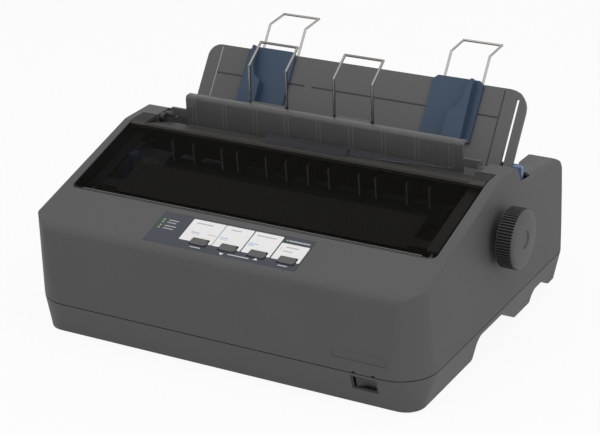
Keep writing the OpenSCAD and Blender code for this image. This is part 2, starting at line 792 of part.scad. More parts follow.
module feed_motor() {
    color(plated) place() {
        bar(-frame_x, -frame_x + 22, pinion_at, 17.5);
        bar(-frame_x + 21.9, -frame_x + 25, pinion_at, 6);
    }
}

// The belt round both pulleys at a radius
module belt_loop(r) {
    square([2 * pulley_x, 2 * r], center = true);
    for (s = [-1, 1]) translate([s * pulley_x, 0]) circle(r = r);
}

module timing_belt() {
    color(black) place() translate([0, belt_y, belt_z - belt_w / 2]) linear_extrude(belt_w) difference() {
        belt_loop(pulley_r + run_gap + belt_t);
        belt_loop(pulley_r + run_gap);
    }
}

module panel_overlay() {
    color([0.27, 0.31, 0.36]) place() difference() {
        on_slope(panel_y) translate([0, 0, -panel_t]) linear_extrude(panel_t)
            polygon(rounded([[-panel_w / 2, 0, 1.5], [panel_w / 2, 0, 4], [panel_w / 2, panel_len, 1.5],
            [-panel_w / 2, panel_len, 1.5]]));
        for (i = [0 : 3]) on_slope(button_y) translate([button_x + i * button_pitch, 0, 0])
            cube([button_w + 2 * key_gap, button_len + 2 * key_gap, 20], center = true);
        for (p = lamp_places) on_slope(p[1]) translate([p[0], 0, -10]) cylinder(h = 20, r = lamp_r);
    }
}

module led_lenses() {
    color([0.35, 0.55, 0.25]) place() for (p = lamp_places) on_slope(p[1]) translate([p[0], 0, 0]) {
        translate([0, 0, -wall - 2]) cylinder(h = wall + 2, r = lamp_r - 0.05);
        translate([0, 0, -wall - 2.5]) cylinder(h = 2.5, r = lamp_r + 0.7);
    }
}

module ribbon_cartridge() {
    color(black) place() {
        arm_end = cartridge_y + 66;
        block([-ribbon_x, cartridge_y, 84], [ribbon_x, cartridge_y + 30, 96]);
        for (s = [-1, 1]) {
            block([s > 0 ? ribbon_x - 14 : -ribbon_x, cartridge_y + 29, 84],
                [s > 0 ? ribbon_x : -ribbon_x + 14, arm_end, 94]);
            block([s > 0 ? ribbon_x - 0.1 : -frame_x, cartridge_y + 4, 86],
                [s > 0 ? frame_x : -ribbon_x + 0.1, cartridge_y + 20, 91]);
            block([s > 0 ? ribbon_x - 6 : -ribbon_x, arm_end - 0.1, 85],
                [s > 0 ? ribbon_x : -ribbon_x + 6, ribbon_y, 93]);
        }
        // The inked ribbon in front of the platen
        block([-ribbon_x + 1, ribbon_y - 0.2, 85.5], [ribbon_x - 1, ribbon_y, 92.5]);
    }
}

module switch_housing() {
    color(black) place() translate([switch_x, 0, 0]) on_front(switch_z) difference() {
        translate([-switch_w / 2, 0.6, -switch_h / 2]) cube([switch_w, 17, switch_h]);
        translate([-switch_w / 2 + 1.5, 0, -switch_h / 2 + 1.5]) cube([switch_w - 3, 14, switch_h - 3]);
        translate([0, rocker_y, -switch_h]) cylinder(h = 2 * switch_h, r = rocker_pin_r + run_gap);
    }
}

module power_inlet() {
    color(black) place() difference() {
        union() {
            block([inlet_x - inlet_w / 2, case_d - wall - 12, inlet_z - inlet_h / 2],
                [inlet_x + inlet_w / 2, case_d + 0.5, inlet_z + inlet_h / 2]);
            block([inlet_x - inlet_w / 2 - 3, case_d, inlet_z - inlet_h / 2 - 2],
                [inlet_x + inlet_w / 2 + 3, case_d + 2, inlet_z + inlet_h / 2 + 2]);
        }
        block([inlet_x - 11.5, case_d - 12, inlet_z - 7], [inlet_x + 11.5, case_d + 3, inlet_z + 7]);
        for (i = [-1 : 1]) block([inlet_x + i * 7 - 1, case_d - 15, inlet_z - 1 - abs(i) * 1.5 - 1],
            [inlet_x + i * 7 + 1, case_d - 11, inlet_z + 3 - abs(i) * 1.5 - 1]);
    }
}

module data_connectors() {
    color(plated) place() for (c = connectors) difference() {
        union() {
            block([c[0] - c[1] / 2, case_d - 22, board_z + board_t],
                [c[0] + c[1] / 2, case_d - 5, c[3] + c[2] / 2]);
            block([c[0] - c[1] / 2, case_d - 6, c[3] - c[2] / 2],
                [c[0] + c[1] / 2, case_d + 3, c[3] + c[2] / 2]);
            block([c[0] - c[1] / 2 - 4, case_d - wall - 1.5, c[3] - c[2] / 2 - 1],
                [c[0] + c[1] / 2 + 4, case_d - wall, c[3] + c[2] / 2 + 1]);
        }
        block([c[0] - c[1] / 2 + 1, case_d - 4, c[3] - c[2] / 2 + 1],
            [c[0] + c[1] / 2 - 1, case_d + 4, c[3] + c[2] / 2 - 1]);
    }
}

module exit_guide() {
    color(smoke) place() {
        front = platen_y + 6.6;
        side(-frame_x, frame_x) polygon([[front, 105.5], [front + 16, 105.5], [front + 16, 110],
            [front, 110]]);
        for (x = guide_ribs) side(x - 0.75, x + 0.75) polygon(rounded([[front - 16.5, 106, 0],
            [front + 16, 106, 0], [front + 16, 118, 2], [front - 15, 125.5, 3], [front - 18, 123, 1]], 2));
    }
}

module front_shield() {
    color(smoke) place() {
        front = cartridge_y + 3.9;
        on_slope(front) translate([-shield_w / 2, 0, -shield_drop]) cube([shield_w, shield_len, 1.5]);
        on_slope(front + 4) translate([-frame_x, 0, -shield_drop]) cube([2 * frame_x, 9, 1.5]);
        on_slope(front) translate([-shield_w / 2, shield_len - 1.5, -shield_drop - 5])
            cube([shield_w, 1.5, 5.5]);
    }
}

module tractor_rod() {
    color(steel) place() bar(-frame_x - frame_t - 1, frame_x + frame_t + 1, tractor_rod_at, tractor_rod_r);
}

module platen_roller() {
    color([0.12, 0.12, 0.12]) place() difference() {
        bar(-platen_len / 2, platen_len / 2, platen_at, platen_r);
        bar(-platen_len / 2 - 1, platen_len / 2 + 1, platen_at, shaft_r);
    }
}

module platen_shaft() {
    color(steel) place() bar(gear_x - 1, knob_in_x + 6, platen_at, shaft_r);
}

// A gear along X with a hub and a bore, its teeth turned by phase
module gear(teeth, at, phase, bore_r, hub_r) {
    difference() {
        union() {
            side(gear_x, gear_x + gear_w) translate(at) rotate(phase) polygon(gear_points(teeth));
            bar(gear_x + gear_w - 0.5, -frame_x - frame_t - 1, at, hub_r);
        }
        bar(gear_x - 1, -frame_x, at, bore_r);
    }
}

module platen_gear() {
    color(white) place() gear(platen_teeth, platen_at, platen_phase, shaft_r, 7);
}

module idler_gear() {
    color(white) place() gear(idler_teeth, idler_at, idler_phase, idler_pin_r + run_gap, 7);
}

module tractor_gear() {
    color(white) place() gear(platen_teeth, tractor_at, tractor_phase, tractor_journal_r, 6);
}

module motor_pinion() {
    color([0.80, 0.68, 0.35]) place() {
        side(gear_x, gear_x + gear_w) translate(pinion_at) rotate(pinion_phase)
            polygon(gear_points(pinion_teeth));
        bar(gear_x + gear_w - 0.5, -frame_x - 0.5, pinion_at, 2.5);
    }
}

module platen_knob() {
    color(case_grey) place() difference() {
        union() {
            bar(knob_in_x, knob_face_x, platen_at, knob_r - 0.8);
            for (i = [0 : knob_ribs - 1]) translate([0, platen_y,
                platen_z]) rotate([i * 360 / knob_ribs, 0, 0])
                translate([knob_in_x + 1, knob_r - 1.6, -0.55]) cube([knob_w - 2.2, 1.6, 1.1]);
            bar(knob_in_x - 9, knob_in_x + 0.1, platen_at, knob_neck_r);
        }
        bar(knob_in_x - 10, knob_in_x + 6, platen_at, shaft_r);
        // Finger hollow in the face
        bar(knob_face_x - 0.9, knob_face_x + 1, platen_at, knob_r * 0.3);
    }
}

module tractor_shaft() {
    color(steel) place() {
        bar(gear_x - 1, -frame_x + 3, tractor_at, tractor_journal_r);
        bar(frame_x - 3, frame_x + frame_t + 1, tractor_at, tractor_journal_r);
        translate([0, tractor_at[0], tractor_at[1]]) cube([2 * frame_x - 4, square_side, square_side],
            center = true);
    }
}

// A tractor block on the rod and the square shaft, open at its top for the pins
module tractor(x) {
    color(black) place() translate([x - tractor_w / 2, tractor_at[0], tractor_at[1]]) difference() {
        side(0, tractor_w) polygon(rounded([[-24, -13, 5], [15, -13, 8], [15, tractor_top, 3],
            [-24, tractor_top, 3]], 4));
        bar(4, tractor_w - 4, [0, 0], sprocket_r + pin_h + 0.7);
        bar(-1, tractor_w + 1, [0, 0], square_side * 0.78);
        bar(-1, tractor_w + 1, tractor_rod_at - tractor_at, tractor_rod_r + run_gap);
    }
}

module sprocket(x) {
    color(white) place() translate([x, tractor_at[0], tractor_at[1]]) difference() {
        union() {
            bar(-4.5, 4.5, [0, 0], sprocket_r);
            for (i = [0 : sprocket_pins - 1]) rotate([18 + i * 360 / sprocket_pins, 0, 0])
                translate([0, 0, sprocket_r - 1]) cylinder(h = pin_h + 1, r = 1.4);
        }
        cube([20, square_side + 2 * run_gap, square_side + 2 * run_gap], center = true);
    }
}

// The flap over the sprocket pins; outer is -1 on the left and 1 on the right
module pin_cover(x, outer) {
    color(blue) place() translate([x, tractor_at[0], tractor_at[1] + tractor_top]) difference() {
        union() {
            translate([-tractor_w / 2, -22, free_gap]) cube([tractor_w, 36, 3]);
            translate([outer * (tractor_w / 2 + 1), -22, free_gap + 1.5]) rotate([-90, 0,
                0]) cylinder(h = 36, r = 1.5);
        }
        translate([-3, -15, 0]) cube([6, 26, free_gap + 1.8]);
    }
}

// The lever that clamps a tractor to its rod
module lock_lever(x, outer) {
    x0 = outer > 0 ? x + tractor_w / 2 + free_gap : x - tractor_w / 2 - free_gap - 3;
    color(blue) place() difference() {
        side(x0, x0 + 3) polygon(rounded([[tractor_rod_at[0] - 6, tractor_rod_at[1] - 6, 5],
            [tractor_rod_at[0] + 6, tractor_rod_at[1] - 6, 5],
                [tractor_rod_at[0] + 5, tractor_rod_at[1] + 6, 2],
            [tractor_rod_at[0], tractor_rod_at[1] + 15, 2],
                [tractor_rod_at[0] - 6, tractor_rod_at[1] + 15, 2]], 3));
        bar(x0 - 1, x0 + 4, tractor_rod_at, tractor_rod_r + run_gap);
    }
}

module tractor_left() { tractor(-tractor_x); }
module tractor_right() { tractor(tractor_x); }
module sprocket_left() { sprocket(-tractor_x); }
module sprocket_right() { sprocket(tractor_x); }
module pin_cover_left() { pin_cover(-tractor_x, -1); }
module pin_cover_right() { pin_cover(tractor_x, 1); }
module lock_lever_left() { lock_lever(-tractor_x, -1); }
module lock_lever_right() { lock_lever(tractor_x, 1); }

module carriage() {
    color(black) place() translate([carriage_x, 0, 0]) difference() {
        union() {
            block([-carriage_w / 2, rail_y - 4, carriage_low],
                [carriage_w / 2, rod_y + 10, carriage_low + 14]);
            block([-carriage_w / 2 + 4, rod_y - 10, carriage_low + 13.9],
                [carriage_w / 2 - 4, rod_y + 9, head_low]);
            block([-8, belt_y - pulley_r - 4.5, 56], [8, belt_y - pulley_r + 3, carriage_low + 1]);
        }
        bar(-carriage_w, carriage_w, [rod_y, rod_z], rod_r + run_gap);
        block([-carriage_w, rail_y - slide_gap, 40],
            [carriage_w, rail_y + rail_t + slide_gap, rail_top + slide_gap]);
        block([-carriage_w, belt_y - pulley_r - belt_t - free_gap, belt_z - belt_w / 2 - free_gap],
            [carriage_w, belt_y - pulley_r + free_gap, belt_z + belt_w / 2 + free_gap]);
    }
}

module print_head() {
    color(plated) place() translate([carriage_x, 0, 0]) {
        head_y = rod_y - 16;
        block([-15, head_y, head_low], [15, head_y + 24, head_low + 5]);
        for (i = [0 : 5]) block([-15, head_y + 4.2 * i, head_low + 4.9],
            [15, head_y + 2 + 4.2 * i, head_low + 18]);
        block([-8, head_y + 23.9, head_low], [8, head_y + 29, head_low + 14]);
        block([-4, head_y + 28.9, platen_z - 5], [4, nose_y, platen_z + 5]);
    }
}

module motor_pulley() {
    color(white) place() translate([pulley_x, belt_y, 0]) {
        translate([0, 0, 53.5]) cylinder(h = 5, r = 2.5);
        translate([0, 0, belt_z - belt_w / 2 - 0.5]) cylinder(h = belt_w + 1, r = pulley_r);
    }
}

module idler_pulley() {
    color(white) place() translate([-pulley_x, belt_y, belt_z - belt_w / 2 - 0.5]) difference() {
        cylinder(h = belt_w + 1, r = pulley_r);
        translate([0, 0, -1]) cylinder(h = 10, r = 2 + run_gap);
    }
}

module ribbon_winder() {
    color(blue) place() translate([-ribbon_x + 24, cartridge_y + 14, 96 + slide_gap]) {
        cylinder(h = 4, r = 8);
        for (i = [0 : 11]) rotate([0, 0, 30 * i]) translate([7.4, -0.8, 0]) cube([1.6, 1.6, 4]);
    }
}

module head_gap_lever() {
    color(blue) place() difference() {
        union() {
            side(-frame_x + free_gap, -frame_x + 3.5) polygon(rounded([[gap_lever_at[0] - 6,
                gap_lever_at[1] - 6, 5],
                [gap_lever_at[0] + 6, gap_lever_at[1] - 6, 5], [gap_lever_at[0] + 9, 116, 2],
                [gap_lever_at[0] + 2, 116, 2]], 3));
            side(-frame_x + free_gap, -frame_x + 12) polygon(rounded([[gap_lever_at[0] + 1, 110, 1],
                [gap_lever_at[0] + 9.5, 110, 1], [gap_lever_at[0] + 9.5, 117, 2],
                    [gap_lever_at[0] + 1, 117, 2]], 3));
        }
        bar(-frame_x - 1, -frame_x + 5, gap_lever_at, 2 + run_gap);
    }
}

module release_lever() {
    at = lever_at;
    color([0.27, 0.37, 0.55]) place() difference() {
        side(lever_x, lever_x + lever_t) polygon(rounded([[at[0] - 7, at[1] - 7, 6],
            [at[0] + 7, at[1] - 7, 6],
            [at[0] + 5, at[1] + 9, 3], [at[0] - 0.5, at[1] + 16, 3], [at[0] - 0.5, at[1] + 34.3, 1],
            [at[0] - 4.5, at[1] + 34.3, 1], [at[0] - 4.5, at[1] + 12, 3]], 3));
        bar(lever_x - 1, lever_x + lever_t + 1, at, 3 + run_gap);
    }
}

module button(i) {
    color([0.25, 0.25, 0.25]) place() on_slope(button_y) translate([button_x + i * button_pitch, 0, 0]) {
        translate([0, 0, -6]) linear_extrude(6 + button_h) polygon(rounded([[-button_w / 2,
            -button_len / 2, 2.4],
            [button_w / 2, -button_len / 2, 2.4], [button_w / 2, button_len / 2, 3.2],
            [-button_w / 2, button_len / 2, 3.2]], 4));
        translate([-button_w / 2 - 1, -button_len / 2 - 1, -6]) cube([button_w + 2, button_len + 2, 1.5]);
    }
}

module button_1() { button(0); }
module button_2() { button(1); }
module button_3() { button(2); }
module button_4() { button(3); }

module power_rocker() {
    color([0.12, 0.12, 0.12]) place() translate([switch_x, 0, 0]) on_front(switch_z)
        translate([0, rocker_y, 0]) rotate([0, 0, rocker_tilt]) translate([0, 0, -rocker_h / 2])
        union() {
            linear_extrude(rocker_h) polygon([[-8.2, -6.5], [0, -5.2], [8.2, -6.5], [7.4, 2], [-7.4, 2]]);
            translate([0, 0, -1.6]) cylinder(h = rocker_h + 3.2, r = rocker_pin_r);
        }
}

// Side outline of the cover: up the slope and along the flat top
module cover_outline() {
    polygon([[opening_y + cover_gap, slope_z(opening_y + cover_gap)], [slope_end_y, top_z],
        [cover_side_y, top_z],
        [cover_side_y, top_z - cover_t], [slope_end_y, top_z - cover_t],
        [opening_y + cover_gap, slope_z(opening_y + cover_gap) - cover_t]]);
}

module printer_cover() {
    in = slot_w / 2 - free_gap;
    color(smoke) place() {
        difference() {
            intersection() {
                side(-opening_w / 2, opening_w / 2) cover_outline();
                translate([0, 0, 80]) linear_extrude(60) opening_plan(cover_gap);
            }
            block([-in, window_y, 100], [in, case_d, top_z + 5]);
        }
        // Band that falls to the rear, with the lugs that carry the hinge pins
        side(-in, in) polygon([[window_y - 2, band_z(window_y - 2)], [band_end_y, band_z(band_end_y)],
            [band_end_y, band_z(band_end_y) - cover_t], [window_y - 2, band_z(window_y - 2) - cover_t]]);
        for (s = [-1, 1]) {
            bar(s > 0 ? in - 4 : -in, s > 0 ? in : -in + 4, [cover_hinge_y, cover_hinge_z], 4);
            bar(s > 0 ? in - 1 : -slot_w / 2 - 2, s > 0 ? slot_w / 2 + 2 : -in + 1, [cover_hinge_y,
                cover_hinge_z], cover_pin_r);
        }
    }
}

module sheet_separator() {
    half = separator_w / 2;
    color(smoke) place() {
        difference() {
            union() {
                side(-half, half) polygon(rounded([[separator_y, separator_low_z, 0],
                    [separator_y + 2, separator_low_z, 0],
                    [separator_y + 2, separator_top_z - 2, 1],
                        [separator_y + separator_depth, separator_top_z - 2, 0],
                    [separator_y + separator_depth, separator_top_z, 1],
                        [separator_y, separator_top_z, 3]], 3));
                // Ribs behind the panel
                for (i = [0 : separator_ribs - 1]) side(-0.8 + rib_x(i), 0.8 + rib_x(i))
                    polygon([[separator_y + 1, separator_low_z + 3],
                        [separator_y + 3, separator_low_z + 3],
                    [separator_y + separator_depth - 1, separator_top_z - 1],
                        [separator_y + 1, separator_top_z - 1]]);
                // Ears with the hinge pins
                for (s = [-1, 1]) {
                    block([s > 0 ? half - 1 : -half - ear_len, separator_y, ear_top_z - 5],
                        [s > 0 ? half + ear_len : -half + 1, separator_y + 2, ear_top_z]);
                    side(s > 0 ? half + ear_len - 3 : -half - ear_len,
                        s > 0 ? half + ear_len : -half - ear_len + 3)
                        polygon(rounded([[separator_y - 1.5, separator_low_z + 4.5, 2],
                            [separator_y + 3.5, separator_low_z + 4.5, 2],
                                [separator_y + 3.5, ear_top_z, 1],
                            [separator_y, ear_top_z, 1]], 2));
                    bar(s > 0 ? half + ear_len - 2 : -slot_w / 2 - 2,
                        s > 0 ? slot_w / 2 + 2 : -half - ear_len + 2,
                        separator_axis, separator_pin_r);
                }
                // Lugs behind the top that hold the wires
                for (x = front_wire_x) {
                    lug = wire_w / 2 - wire_d / 2 - slide_gap;
                    bar(x - lug, x + lug, front_wire_at, 2);
                    block([x - lug, front_wire_at[0] - 3, separator_top_z - 2],
                        [x + lug, front_wire_at[0], separator_top_z]);
                }
            }
            for (x = front_wire_x) bar(x - wire_w, x + wire_w, front_wire_at, wire_d / 2 + run_gap);
        }
    }
}

// A bent wire: feet that turn inwards, two legs and a crossbar, drawn from its feet's axis.
// The legs rise for leg and then lean back by an angle for reach.
module wire(leg, reach, angle) {
    top = [reach * sin(angle), leg + reach * cos(angle)];
    half = wire_w / 2;
    for (s = [-1, 1]) {
        translate([s * half, 0, 0]) cylinder(h = leg, r = wire_d / 2);
        translate([s * half, 0, leg]) rotate([-angle, 0, 0]) cylinder(h = reach, r = wire_d / 2);
        translate([s * half, 0, 0]) sphere(r = wire_d / 2 + bend_bead);
        translate([s * half, 0, leg]) sphere(r = wire_d / 2 + bend_bead);
        translate([s * half, top[0], top[1]]) sphere(r = wire_d / 2 + bend_bead);
        bar(s > 0 ? half - wire_foot : -half, s > 0 ? half : -half + wire_foot, [0, 0], wire_d / 2);
    }
    bar(-half, half, top, wire_d / 2);
}

module front_wire(x) {
    color(steel) place() translate([x, front_wire_at[0], front_wire_at[1]])
        wire(front_wire_leg, wire_reach, front_wire_bend);
}

module front_wire_left() { front_wire(front_wire_x[0]); }
module front_wire_middle() { front_wire(front_wire_x[1]); }

module paper_tray() {
    half = tray_w / 2;
    color(smoke_light) place() {
        on_tray() difference() {
            translate([0, 0, tray_back]) linear_extrude(tray_t) polygon(rounded([[-half, tray_low, 2],
                [half, tray_low, 2], [half, tray_len, tray_corner_r + 6],
                    [-half, tray_len, tray_corner_r]]));
            // Thinner panel between the rails, its groove, and the slit in the right rail
            translate([-half + tray_rail_left, tray_low - 1, tray_back - 1])
                cube([tray_w - tray_rail_left - tray_rail_right, tray_len - 8 - tray_low, 2.2]);
            translate([-half + tray_rail_left, tray_groove, tray_front - 0.8])
                cube([half - tray_rail_left + tray_break[0], 1.2, 2]);
            translate([tray_break[1], tray_groove, tray_front - 0.8])
                cube([half - tray_rail_right - tray_break[1], 1.2, 2]);
            translate([half - tray_slit[0] - tray_slit[1], tray_slit[2], -5])
                cube([tray_slit[1], tray_slit[3] - tray_slit[2], 10]);
        }
        for (s = [-1, 1]) bar(s > 0 ? half - 1 : -deck_in - 2, s > 0 ? deck_in + 2 : -half + 1,
            [tray_pivot_y, tray_pivot_z], tray_pin_r);
    }
}

// An edge guide that hooks over the top of the tray; out is -1 for the left and 1 for the right
module edge_guide(out) {
    low = out > 0 ? guide_x : -guide_x - guide_w;
    front = tray_front + slide_gap;
    back = tray_back - slide_gap - guide_t;
    wire_x = out * rear_wire_x;
    lug = wire_w / 2 - wire_d / 2 - slide_gap;
    color(blue) place() on_tray() difference() {
        union() {
            // Front plate with cut top corners, the top that goes over the tray and the tail behind it
            translate([0, 0, front]) linear_extrude(guide_t) guide_plan(low);
            translate([0, 0, back]) linear_extrude(front + guide_t - back) intersection() {
                guide_plan(low);
                translate([low - 1, tray_len + slide_gap]) square([guide_w + 2, 10]);
            }
            translate([low + 6, rear_wire_s - 4, back]) cube([guide_w - 12,
                tray_len + 1 - rear_wire_s + 4, guide_t]);
            // Fin that stops the edge of the paper
            translate([0, 0, front]) linear_extrude(fin_h + guide_t)
                polygon(rounded([for (p = fin_plan) [out * p[0], p[1], p[2]]], 3));
            // Lug that holds the wire
            translate([wire_x - lug, rear_wire_s - 2.5, rear_wire_n]) cube([2 * lug, 5,
                back + 0.1 - rear_wire_n]);
            translate([0, rear_wire_s, rear_wire_n]) bar(wire_x - lug, wire_x + lug, [0, 0], 2.5);
        }
        translate([0, rear_wire_s, rear_wire_n]) bar(wire_x - wire_w, wire_x + wire_w, [0, 0],
            wire_d / 2 + run_gap);
        // Slope that takes the top of the fin down to the plate
        translate([low - 1, tray_len + guide_over, front + guide_t]) rotate([-38, 0, 0]) translate([0,
            0, 0])
            cube([guide_w + 2, 30, 30]);
    }
}

// The front plate of an edge guide, from its left edge
module guide_plan(low) {
    top = tray_len + slide_gap + guide_over;
    polygon([[low, guide_low], [low + guide_w, guide_low], [low + guide_w, top - 3.5],
        [low + guide_w - 4, top],
        [low + 4, top], [low, top - 3.5]]);
}

module edge_guide_left() { edge_guide(-1); }
module edge_guide_right() { edge_guide(1); }

module rear_wire(x) {
    color(steel) place() on_tray() translate([x, rear_wire_s, rear_wire_n]) rotate([-90, 0, 0])
        wire(wire_bend_s - rear_wire_s, wire_reach, wire_bend_angle);
}

module rear_wire_left() { rear_wire(-rear_wire_x); }
module rear_wire_right() { rear_wire(rear_wire_x); }

lower_case();
upper_case();
rubber_feet();
case_screws();
side_frame_left();
side_frame_right();
carriage_rod();
carriage_rail();
platen_bushes();
main_board();
power_board();
carriage_motor();
feed_motor();
timing_belt();
panel_overlay();
led_lenses();
ribbon_cartridge();
switch_housing();
power_inlet();
data_connectors();
exit_guide();
front_shield();
tractor_rod();
platen_roller();
platen_shaft();
platen_gear();
platen_knob();
idler_gear();
motor_pinion();
tractor_shaft();
tractor_gear();
tractor_left();
tractor_right();
sprocket_left();
sprocket_right();
pin_cover_left();
pin_cover_right();
lock_lever_left();
lock_lever_right();
carriage();
print_head();
motor_pulley();
idler_pulley();
ribbon_winder();
head_gap_lever();
release_lever();
button_1();
button_2();
button_3();
button_4();
power_rocker();
printer_cover();
sheet_separator();
front_wire_left();
front_wire_middle();
paper_tray();
edge_guide_left();
edge_guide_right();
rear_wire_left();
rear_wire_right();
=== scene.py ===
# %% [markdown]
# Dot matrix printer, dressed on its CAD frame.
# The printer is a dark grey desktop machine with a smoke window over the print head, a knob on the
# right for turning the platen by hand, and wires that hold the paper up. The solids already come
# from the CAD, at their real size. Here they get their plastics, metals and small moulded detail.

# %% Load the frame and note its box
import json
import math

import bmesh
import bpy
from mathutils import Matrix, Vector

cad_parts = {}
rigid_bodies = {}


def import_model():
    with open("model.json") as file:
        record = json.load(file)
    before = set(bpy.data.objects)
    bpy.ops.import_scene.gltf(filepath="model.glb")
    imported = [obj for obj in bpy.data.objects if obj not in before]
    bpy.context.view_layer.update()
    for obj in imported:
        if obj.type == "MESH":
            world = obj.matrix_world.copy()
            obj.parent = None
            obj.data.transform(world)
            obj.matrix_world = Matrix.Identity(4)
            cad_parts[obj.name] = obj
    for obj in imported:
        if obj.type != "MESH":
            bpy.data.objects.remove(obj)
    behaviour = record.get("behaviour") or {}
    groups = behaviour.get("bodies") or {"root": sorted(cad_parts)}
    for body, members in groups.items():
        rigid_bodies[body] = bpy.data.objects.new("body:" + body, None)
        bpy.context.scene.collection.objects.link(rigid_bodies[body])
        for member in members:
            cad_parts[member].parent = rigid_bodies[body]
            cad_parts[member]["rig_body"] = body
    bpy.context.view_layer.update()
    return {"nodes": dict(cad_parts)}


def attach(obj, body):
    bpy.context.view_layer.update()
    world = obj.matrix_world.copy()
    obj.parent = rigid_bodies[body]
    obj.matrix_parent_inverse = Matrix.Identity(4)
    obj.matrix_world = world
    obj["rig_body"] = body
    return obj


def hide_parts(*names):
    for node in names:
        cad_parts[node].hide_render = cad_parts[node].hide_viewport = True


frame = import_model()
nodes = frame["nodes"]

# %% [markdown]
# All places below are read as the CAD source gives them: millimetres from the middle of the case,
# its front seam and its underside. `place` turns such a point into the shared frame in metres, and
# `in_case` turns a point of a mesh back into those millimetres. Two small helpers keep the rest
# plain: one puts an object into the scene, the other names a neutral colour by its level.

# %% Units and the shared origin
MM = 0.001
MIDDLE = Vector((9.1, 150.3472, -1.5))
SEAM_Z = 28


def place(x, y, z):
    return (Vector((x, y, z)) - MIDDLE) * MM


def in_case(point):
    return point / MM + MIDDLE


def put_in_scene(thing):
    bpy.context.scene.collection.objects.link(thing)


def grey(level):
    return (level, level, level)


print("front of the case at the seam:", place(0, 0, SEAM_Z))

# %% [markdown]
# A view can be set by eye or solved. Here the angles, the distance and the focal length were solved
# from the straight edges of the case, because a case with this many parallel lines shows every
# small error. The perspective is that of a short telephoto lens. Angles are in degrees and lengths
# in millimetres, and the focal length is in pixels of a picture 600 wide.

# %% Camera
AZIMUTH, ELEVATION, ROLL = (math.radians(angle) for angle in (29.8264, 23.62, -1.7344))
AIM = Vector((0.0, 137.0, 80.0))
DISTANCE = 1571.89
SIDE_STEP = -0.3048
HEIGHT_STEP = -3.7848
FOCAL_PIXELS = 1953.477
PICTURE_WIDTH = 600
SENSOR_WIDTH = 36
FARTHEST = 20

back = Vector((math.sin(AZIMUTH) * math.cos(ELEVATION), -math.cos(AZIMUTH) * math.cos(ELEVATION),
               math.sin(ELEVATION)))
right = (-back).cross(Vector((0, 0, 1))).normalized()
up = right.cross(-back)
rolled_right = math.cos(ROLL) * right + math.sin(ROLL) * up
rolled_up = -math.sin(ROLL) * right + math.cos(ROLL) * up
eye = AIM + back * DISTANCE + rolled_right * SIDE_STEP + rolled_up * HEIGHT_STEP
turn = Matrix((rolled_right, rolled_up, back)).transposed()

camera_data = bpy.data.cameras.new("camera")
camera_data.sensor_width = SENSOR_WIDTH
camera_data.lens = SENSOR_WIDTH * FOCAL_PIXELS / PICTURE_WIDTH
camera_data.clip_end = FARTHEST
camera = bpy.data.objects.new("camera", camera_data)
camera.matrix_world = Matrix.Translation(place(*eye)) @ turn.to_4x4()
put_in_scene(camera)
bpy.context.scene.camera = camera
bpy.context.scene.view_settings.view_transform = "Standard"
print("camera at", camera.matrix_world.translation)

# %% [markdown]
# The light is that of a small product studio: a large soft box above and in front, and a weaker one
# on the right. Point lamps would do the same at less cost, but they draw hard shadows under the
# knob and wires, and large area lamps give the soft ones that a studio has.

# %% Soft boxes
AIM_OF_LAMPS = Vector((0, 0, 0.08))
SOFT_BOXES = (
    # Name, place, width and depth, power
    ("overhead soft box", (0.15, -0.3, 1.5), (1.6, 1.2), 8.5),
    ("right soft box", (1.5, -0.7, 0.7), (1.0, 1.0), 4.8),
)
for name, at, size, power in SOFT_BOXES:
    light = bpy.data.lights.new(name, "AREA")
    light.shape = "RECTANGLE"
    light.size, light.size_y = size
    light.energy = power
    lamp = bpy.data.objects.new(name, light)
    lamp.location = at
    lamp.rotation_euler = (AIM_OF_LAMPS - Vector(at)).to_track_quat("-Z", "Y").to_euler()
    put_in_scene(lamp)
print("soft boxes:", len(SOFT_BOXES))

# %% [markdown]
# White paper stands round the set and lies under it. It has to read as white to the camera, and
# metal and glossy plastic have to mirror it, but it must not light the printer like a lamp. A
# Light Path node tells these cases apart: rays that come straight from the camera, through a clear
# piece or off a mirror meet the white paper, and all other rays meet a plain grey surround.

# %% White surround
SURROUND_STRENGTH = 0.45
PAPER_STRENGTH = 1.0


def rays_that_see(tree):
    rays = tree.nodes.new("ShaderNodeLightPath")
    seen = rays.outputs["Is Camera Ray"]
    for kind in ("Is Transmission Ray", "Is Glossy Ray"):
        either = tree.nodes.new("ShaderNodeMath")
        either.operation = "MAXIMUM"
        tree.links.new(seen, either.inputs[0])
        tree.links.new(rays.outputs[kind], either.inputs[1])
        seen = either.outputs[0]
    return seen


def choose_shader(tree, share, unseen, seen, output_kind):
    choose = tree.nodes.new("ShaderNodeMixShader")
    out = tree.nodes.new(output_kind)
    for source, socket in zip((share, unseen, seen), choose.inputs):
        tree.links.new(source, socket)
    tree.links.new(choose.outputs[0], out.inputs[0])


def white_background(tree, strength):
    shade = tree.nodes.new("ShaderNodeBackground")
    shade.inputs["Color"].default_value = (*grey(1.0), 1)
    shade.inputs["Strength"].default_value = strength
    return shade.outputs[0]


world = bpy.data.worlds.new("white surround")
bpy.context.scene.world = world
world.use_nodes = True
tree = world.node_tree
tree.nodes.clear()
choose_shader(tree, rays_that_see(tree), white_background(tree, SURROUND_STRENGTH),
              white_background(tree, PAPER_STRENGTH), "ShaderNodeOutputWorld")
print("surround:", world.name)

# %% [markdown]
# The floor is the same white paper. A plain white floor would need far more light on the printer
# before it read as white. So this sheet mostly glows where it is seen, and a share of plain diffuse
# paper in it keeps the printer's soft shadow.

# %% Floor
FLOOR_HALF = 6
FLOOR_PAPER = 0.9
FLOOR_GLOW_SHARE = 0.92

